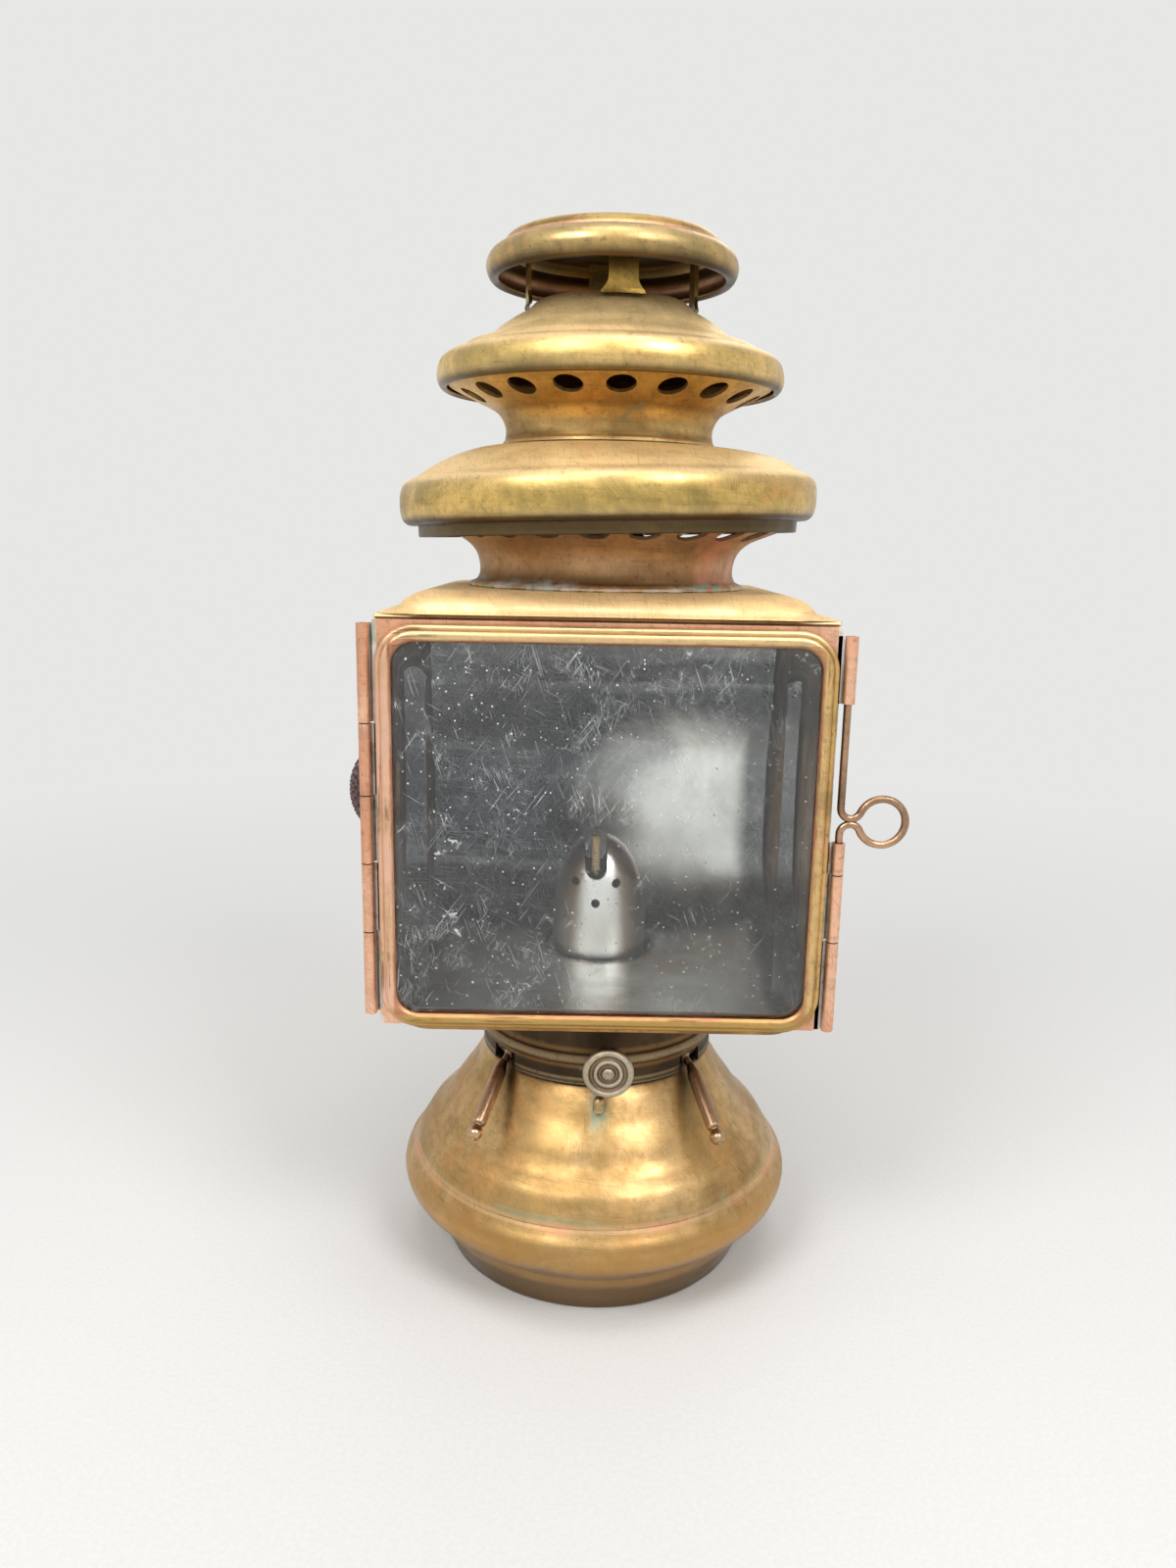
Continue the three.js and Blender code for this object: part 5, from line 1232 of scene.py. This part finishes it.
r, z = 45, 239.3  # the rim's radius and underside
line = from_edge(0, z, (42.5, 0.4, 1), (43, 0), (43.8, 0.3), (44.6, 1.4))
line += from_edge(
    r, z, (0, 3), (-0.3, 5.3), (-1.1, 7.1), (-2.6, 8.3), (-4.9, 9, 1), (-7.6, 10.8), (-9.4, 11.3),
    (-11.4, 12), (-13.6, 13.2), (-15.8, 14.9), (-19.6, 17.5), (-22.7, 19.2), (-24.3, 20.6),
    (-25.4, 21.6), (-26.2, 21.85), (-27.4, 21.9, 1),
)
piece("upper_canopy", uneven(spin(shell(flow(line)))), canopy_brass)


def strap(angle):
    """A strap bent to the crown's curve, with a flared foot run in with solder."""
    low, high, out = 259.9, 275.6, 22.05
    widths = [
        (0, 5.5), (0.5, 5.4), (1.1, 4.9), (1.7, 4.4), (2.4, 3.95), (3.2, 3.65), (4.5, 3.6), (high - low, 3.6)
    ]
    loops = []
    for z, half in flow(widths, 0.5):
        ring = []
        for k in range(17):
            x = (k / 8 - 1) * half
            bend, flare = 0.02 * x * x, 0.12 * max(0, 1.6 - z) ** 2
            ring.append((x, bend - flare - out, low + z))
        ring += [(x, y + SHEET, at_z) for x, y, at_z in reversed(ring)]
        loops.append(ring)
    return placed(skin(loops), Matrix.Rotation(math.radians(angle), 4, "Z"))


for i, side in enumerate(("front", "right", "back", "left")):
    piece(f"cap_strap_{side}", strap(90 * i + 6.5), cap_brass)

r, z = 32.3, 266.2  # the rim's radius and underside
line = from_edge(
    r, z, (-3.2, 0.6, 1), (-2.4, 0), (-1.4, 0.15), (-0.4, 1.6), (0, 3.4), (-0.4, 5.1), (-1.3, 6.4),
    (-2.7, 7.3), (-4.1, 7.8, 1), (-4.8, 9.2), (-5.7, 10.1), (-6.8, 10.5), (-10, 10.57),
)
line = flow([*line, (12, z + 10.57), (0, z + 10.57, 1)], 0.9)
piece("chimney_cap", uneven(spin(shell(line)), 0.12), cap_brass)


# ---------------------------------------------------------------- floor, lights and camera
def pale_floor():
    """A wide pale table that fades into the background."""
    rings, sides, reach, z = 40, 64, 4000, -0.02
    points = [Vector((0, 0, z))]
    for k in range(1, rings + 1):
        circle = arc(0, 0, reach * (k / rings) ** 2, 0, 360, sides)[:-1]
        points += [Vector((x, y, z)) for x, y in circle]
    faces = [(0, 1 + i, 1 + (i + 1) % sides) for i in range(sides)]
    for k in range(rings - 1):
        a, b = 1 + sides * k, 1 + sides * (k + 1)
        faces += [(a + i, b + i, b + (i + 1) % sides, a + (i + 1) % sides) for i in range(sides)]
    s = Surface("floor_paper", (0.74, 0.735, 0.72))
    grain = s.noise(900, 5, 50)
    s.paint(s.band(grain, 0.3, 0.7), (0.78, 0.775, 0.765))
    s.bump(grain, 0.15, 0.0002)
    glow = s.add("Emission", Color=BACKGROUND, Strength=1.0)
    far = s.band(s.length(s.place), 0.13, 0.7)
    blend = s.add("MixShader", Fac=far, i1=s.shader.outputs[0], i2=glow)
    s.plug(s.tree.nodes["Material Output"].inputs["Surface"], blend)
    made = mesh_object("floor", (points, faces, [0.0] * len(points)), s.finish(Roughness=0.9))
    made.data.shade_smooth()
    made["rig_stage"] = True


BACKGROUND = (0.8, 0.8, 0.79)
pale_floor()

world = bpy.data.worlds.new("studio")
bpy.context.scene.world = world
world.use_nodes = True
sky = Nodes(world.node_tree)
seen = sky.add("LightPath", "Is Camera Ray")
for ray in ("Is Glossy Ray", "Is Transmission Ray"):
    seen = sky.most(seen, sky.add("LightPath", ray))
back = sky.tree.nodes["Background"].inputs
sky.plug(back["Color"], BACKGROUND)
sky.plug(back["Strength"], sky.add("MapRange", Value=seen, To_Min=0.6))


def softbox(name, azimuth, elevation, distance, width, height, power):
    """A soft lamp aimed at the object's middle."""
    a, e = math.radians(azimuth), math.radians(elevation)
    way = Vector((math.sin(a) * math.cos(e), -math.cos(a) * math.cos(e), math.sin(e)))
    data = bpy.data.lights.new(name, "AREA")
    data.shape = "RECTANGLE"
    data.size, data.size_y = width, height
    data.energy = power
    lamp = bpy.data.objects.new(name, data)
    lamp.location = Vector((0, 0, 0.15)) + way * distance
    lamp.rotation_euler = (-way).to_track_quat("-Z", "Y").to_euler()
    bpy.context.scene.collection.objects.link(lamp)


softbox("left_box", -36, 42, 0.9, 0.34, 0.26, 3.4)
softbox("right_box", 36, 42, 0.9, 0.34, 0.26, 3.0)
softbox("top_box", 8, 74, 0.9, 0.5, 0.4, 2.2)
softbox("back_fill", 170, 40, 1.2, 0.8, 0.6, 2.0)

pitch, yaw, roll = math.radians(12.2), math.radians(0.05), math.radians(-1.04)
right = Vector((math.cos(yaw), -math.sin(yaw), 0))
ahead = Vector((math.sin(yaw) * math.cos(pitch), math.cos(yaw) * math.cos(pitch), -math.sin(pitch)))
down = ahead.cross(right)
side = right * math.cos(roll) + down * math.sin(roll)
drop = down * math.cos(roll) - right * math.sin(roll)
camera_data = bpy.data.cameras.new("camera")
camera_data.sensor_width = 36
camera_data.lens = 25.875
camera_data.clip_start = 0.01
camera = bpy.data.objects.new("camera", camera_data)
facing = Matrix((side, -drop, -ahead)).transposed().to_4x4()
camera.matrix_world = Matrix.Translation((-0.0041, -0.3097, 0.2020)) @ facing
bpy.context.scene.collection.objects.link(camera)
bpy.context.scene.camera = camera
bpy.context.scene.view_settings.view_transform = "Standard"

low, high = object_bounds()
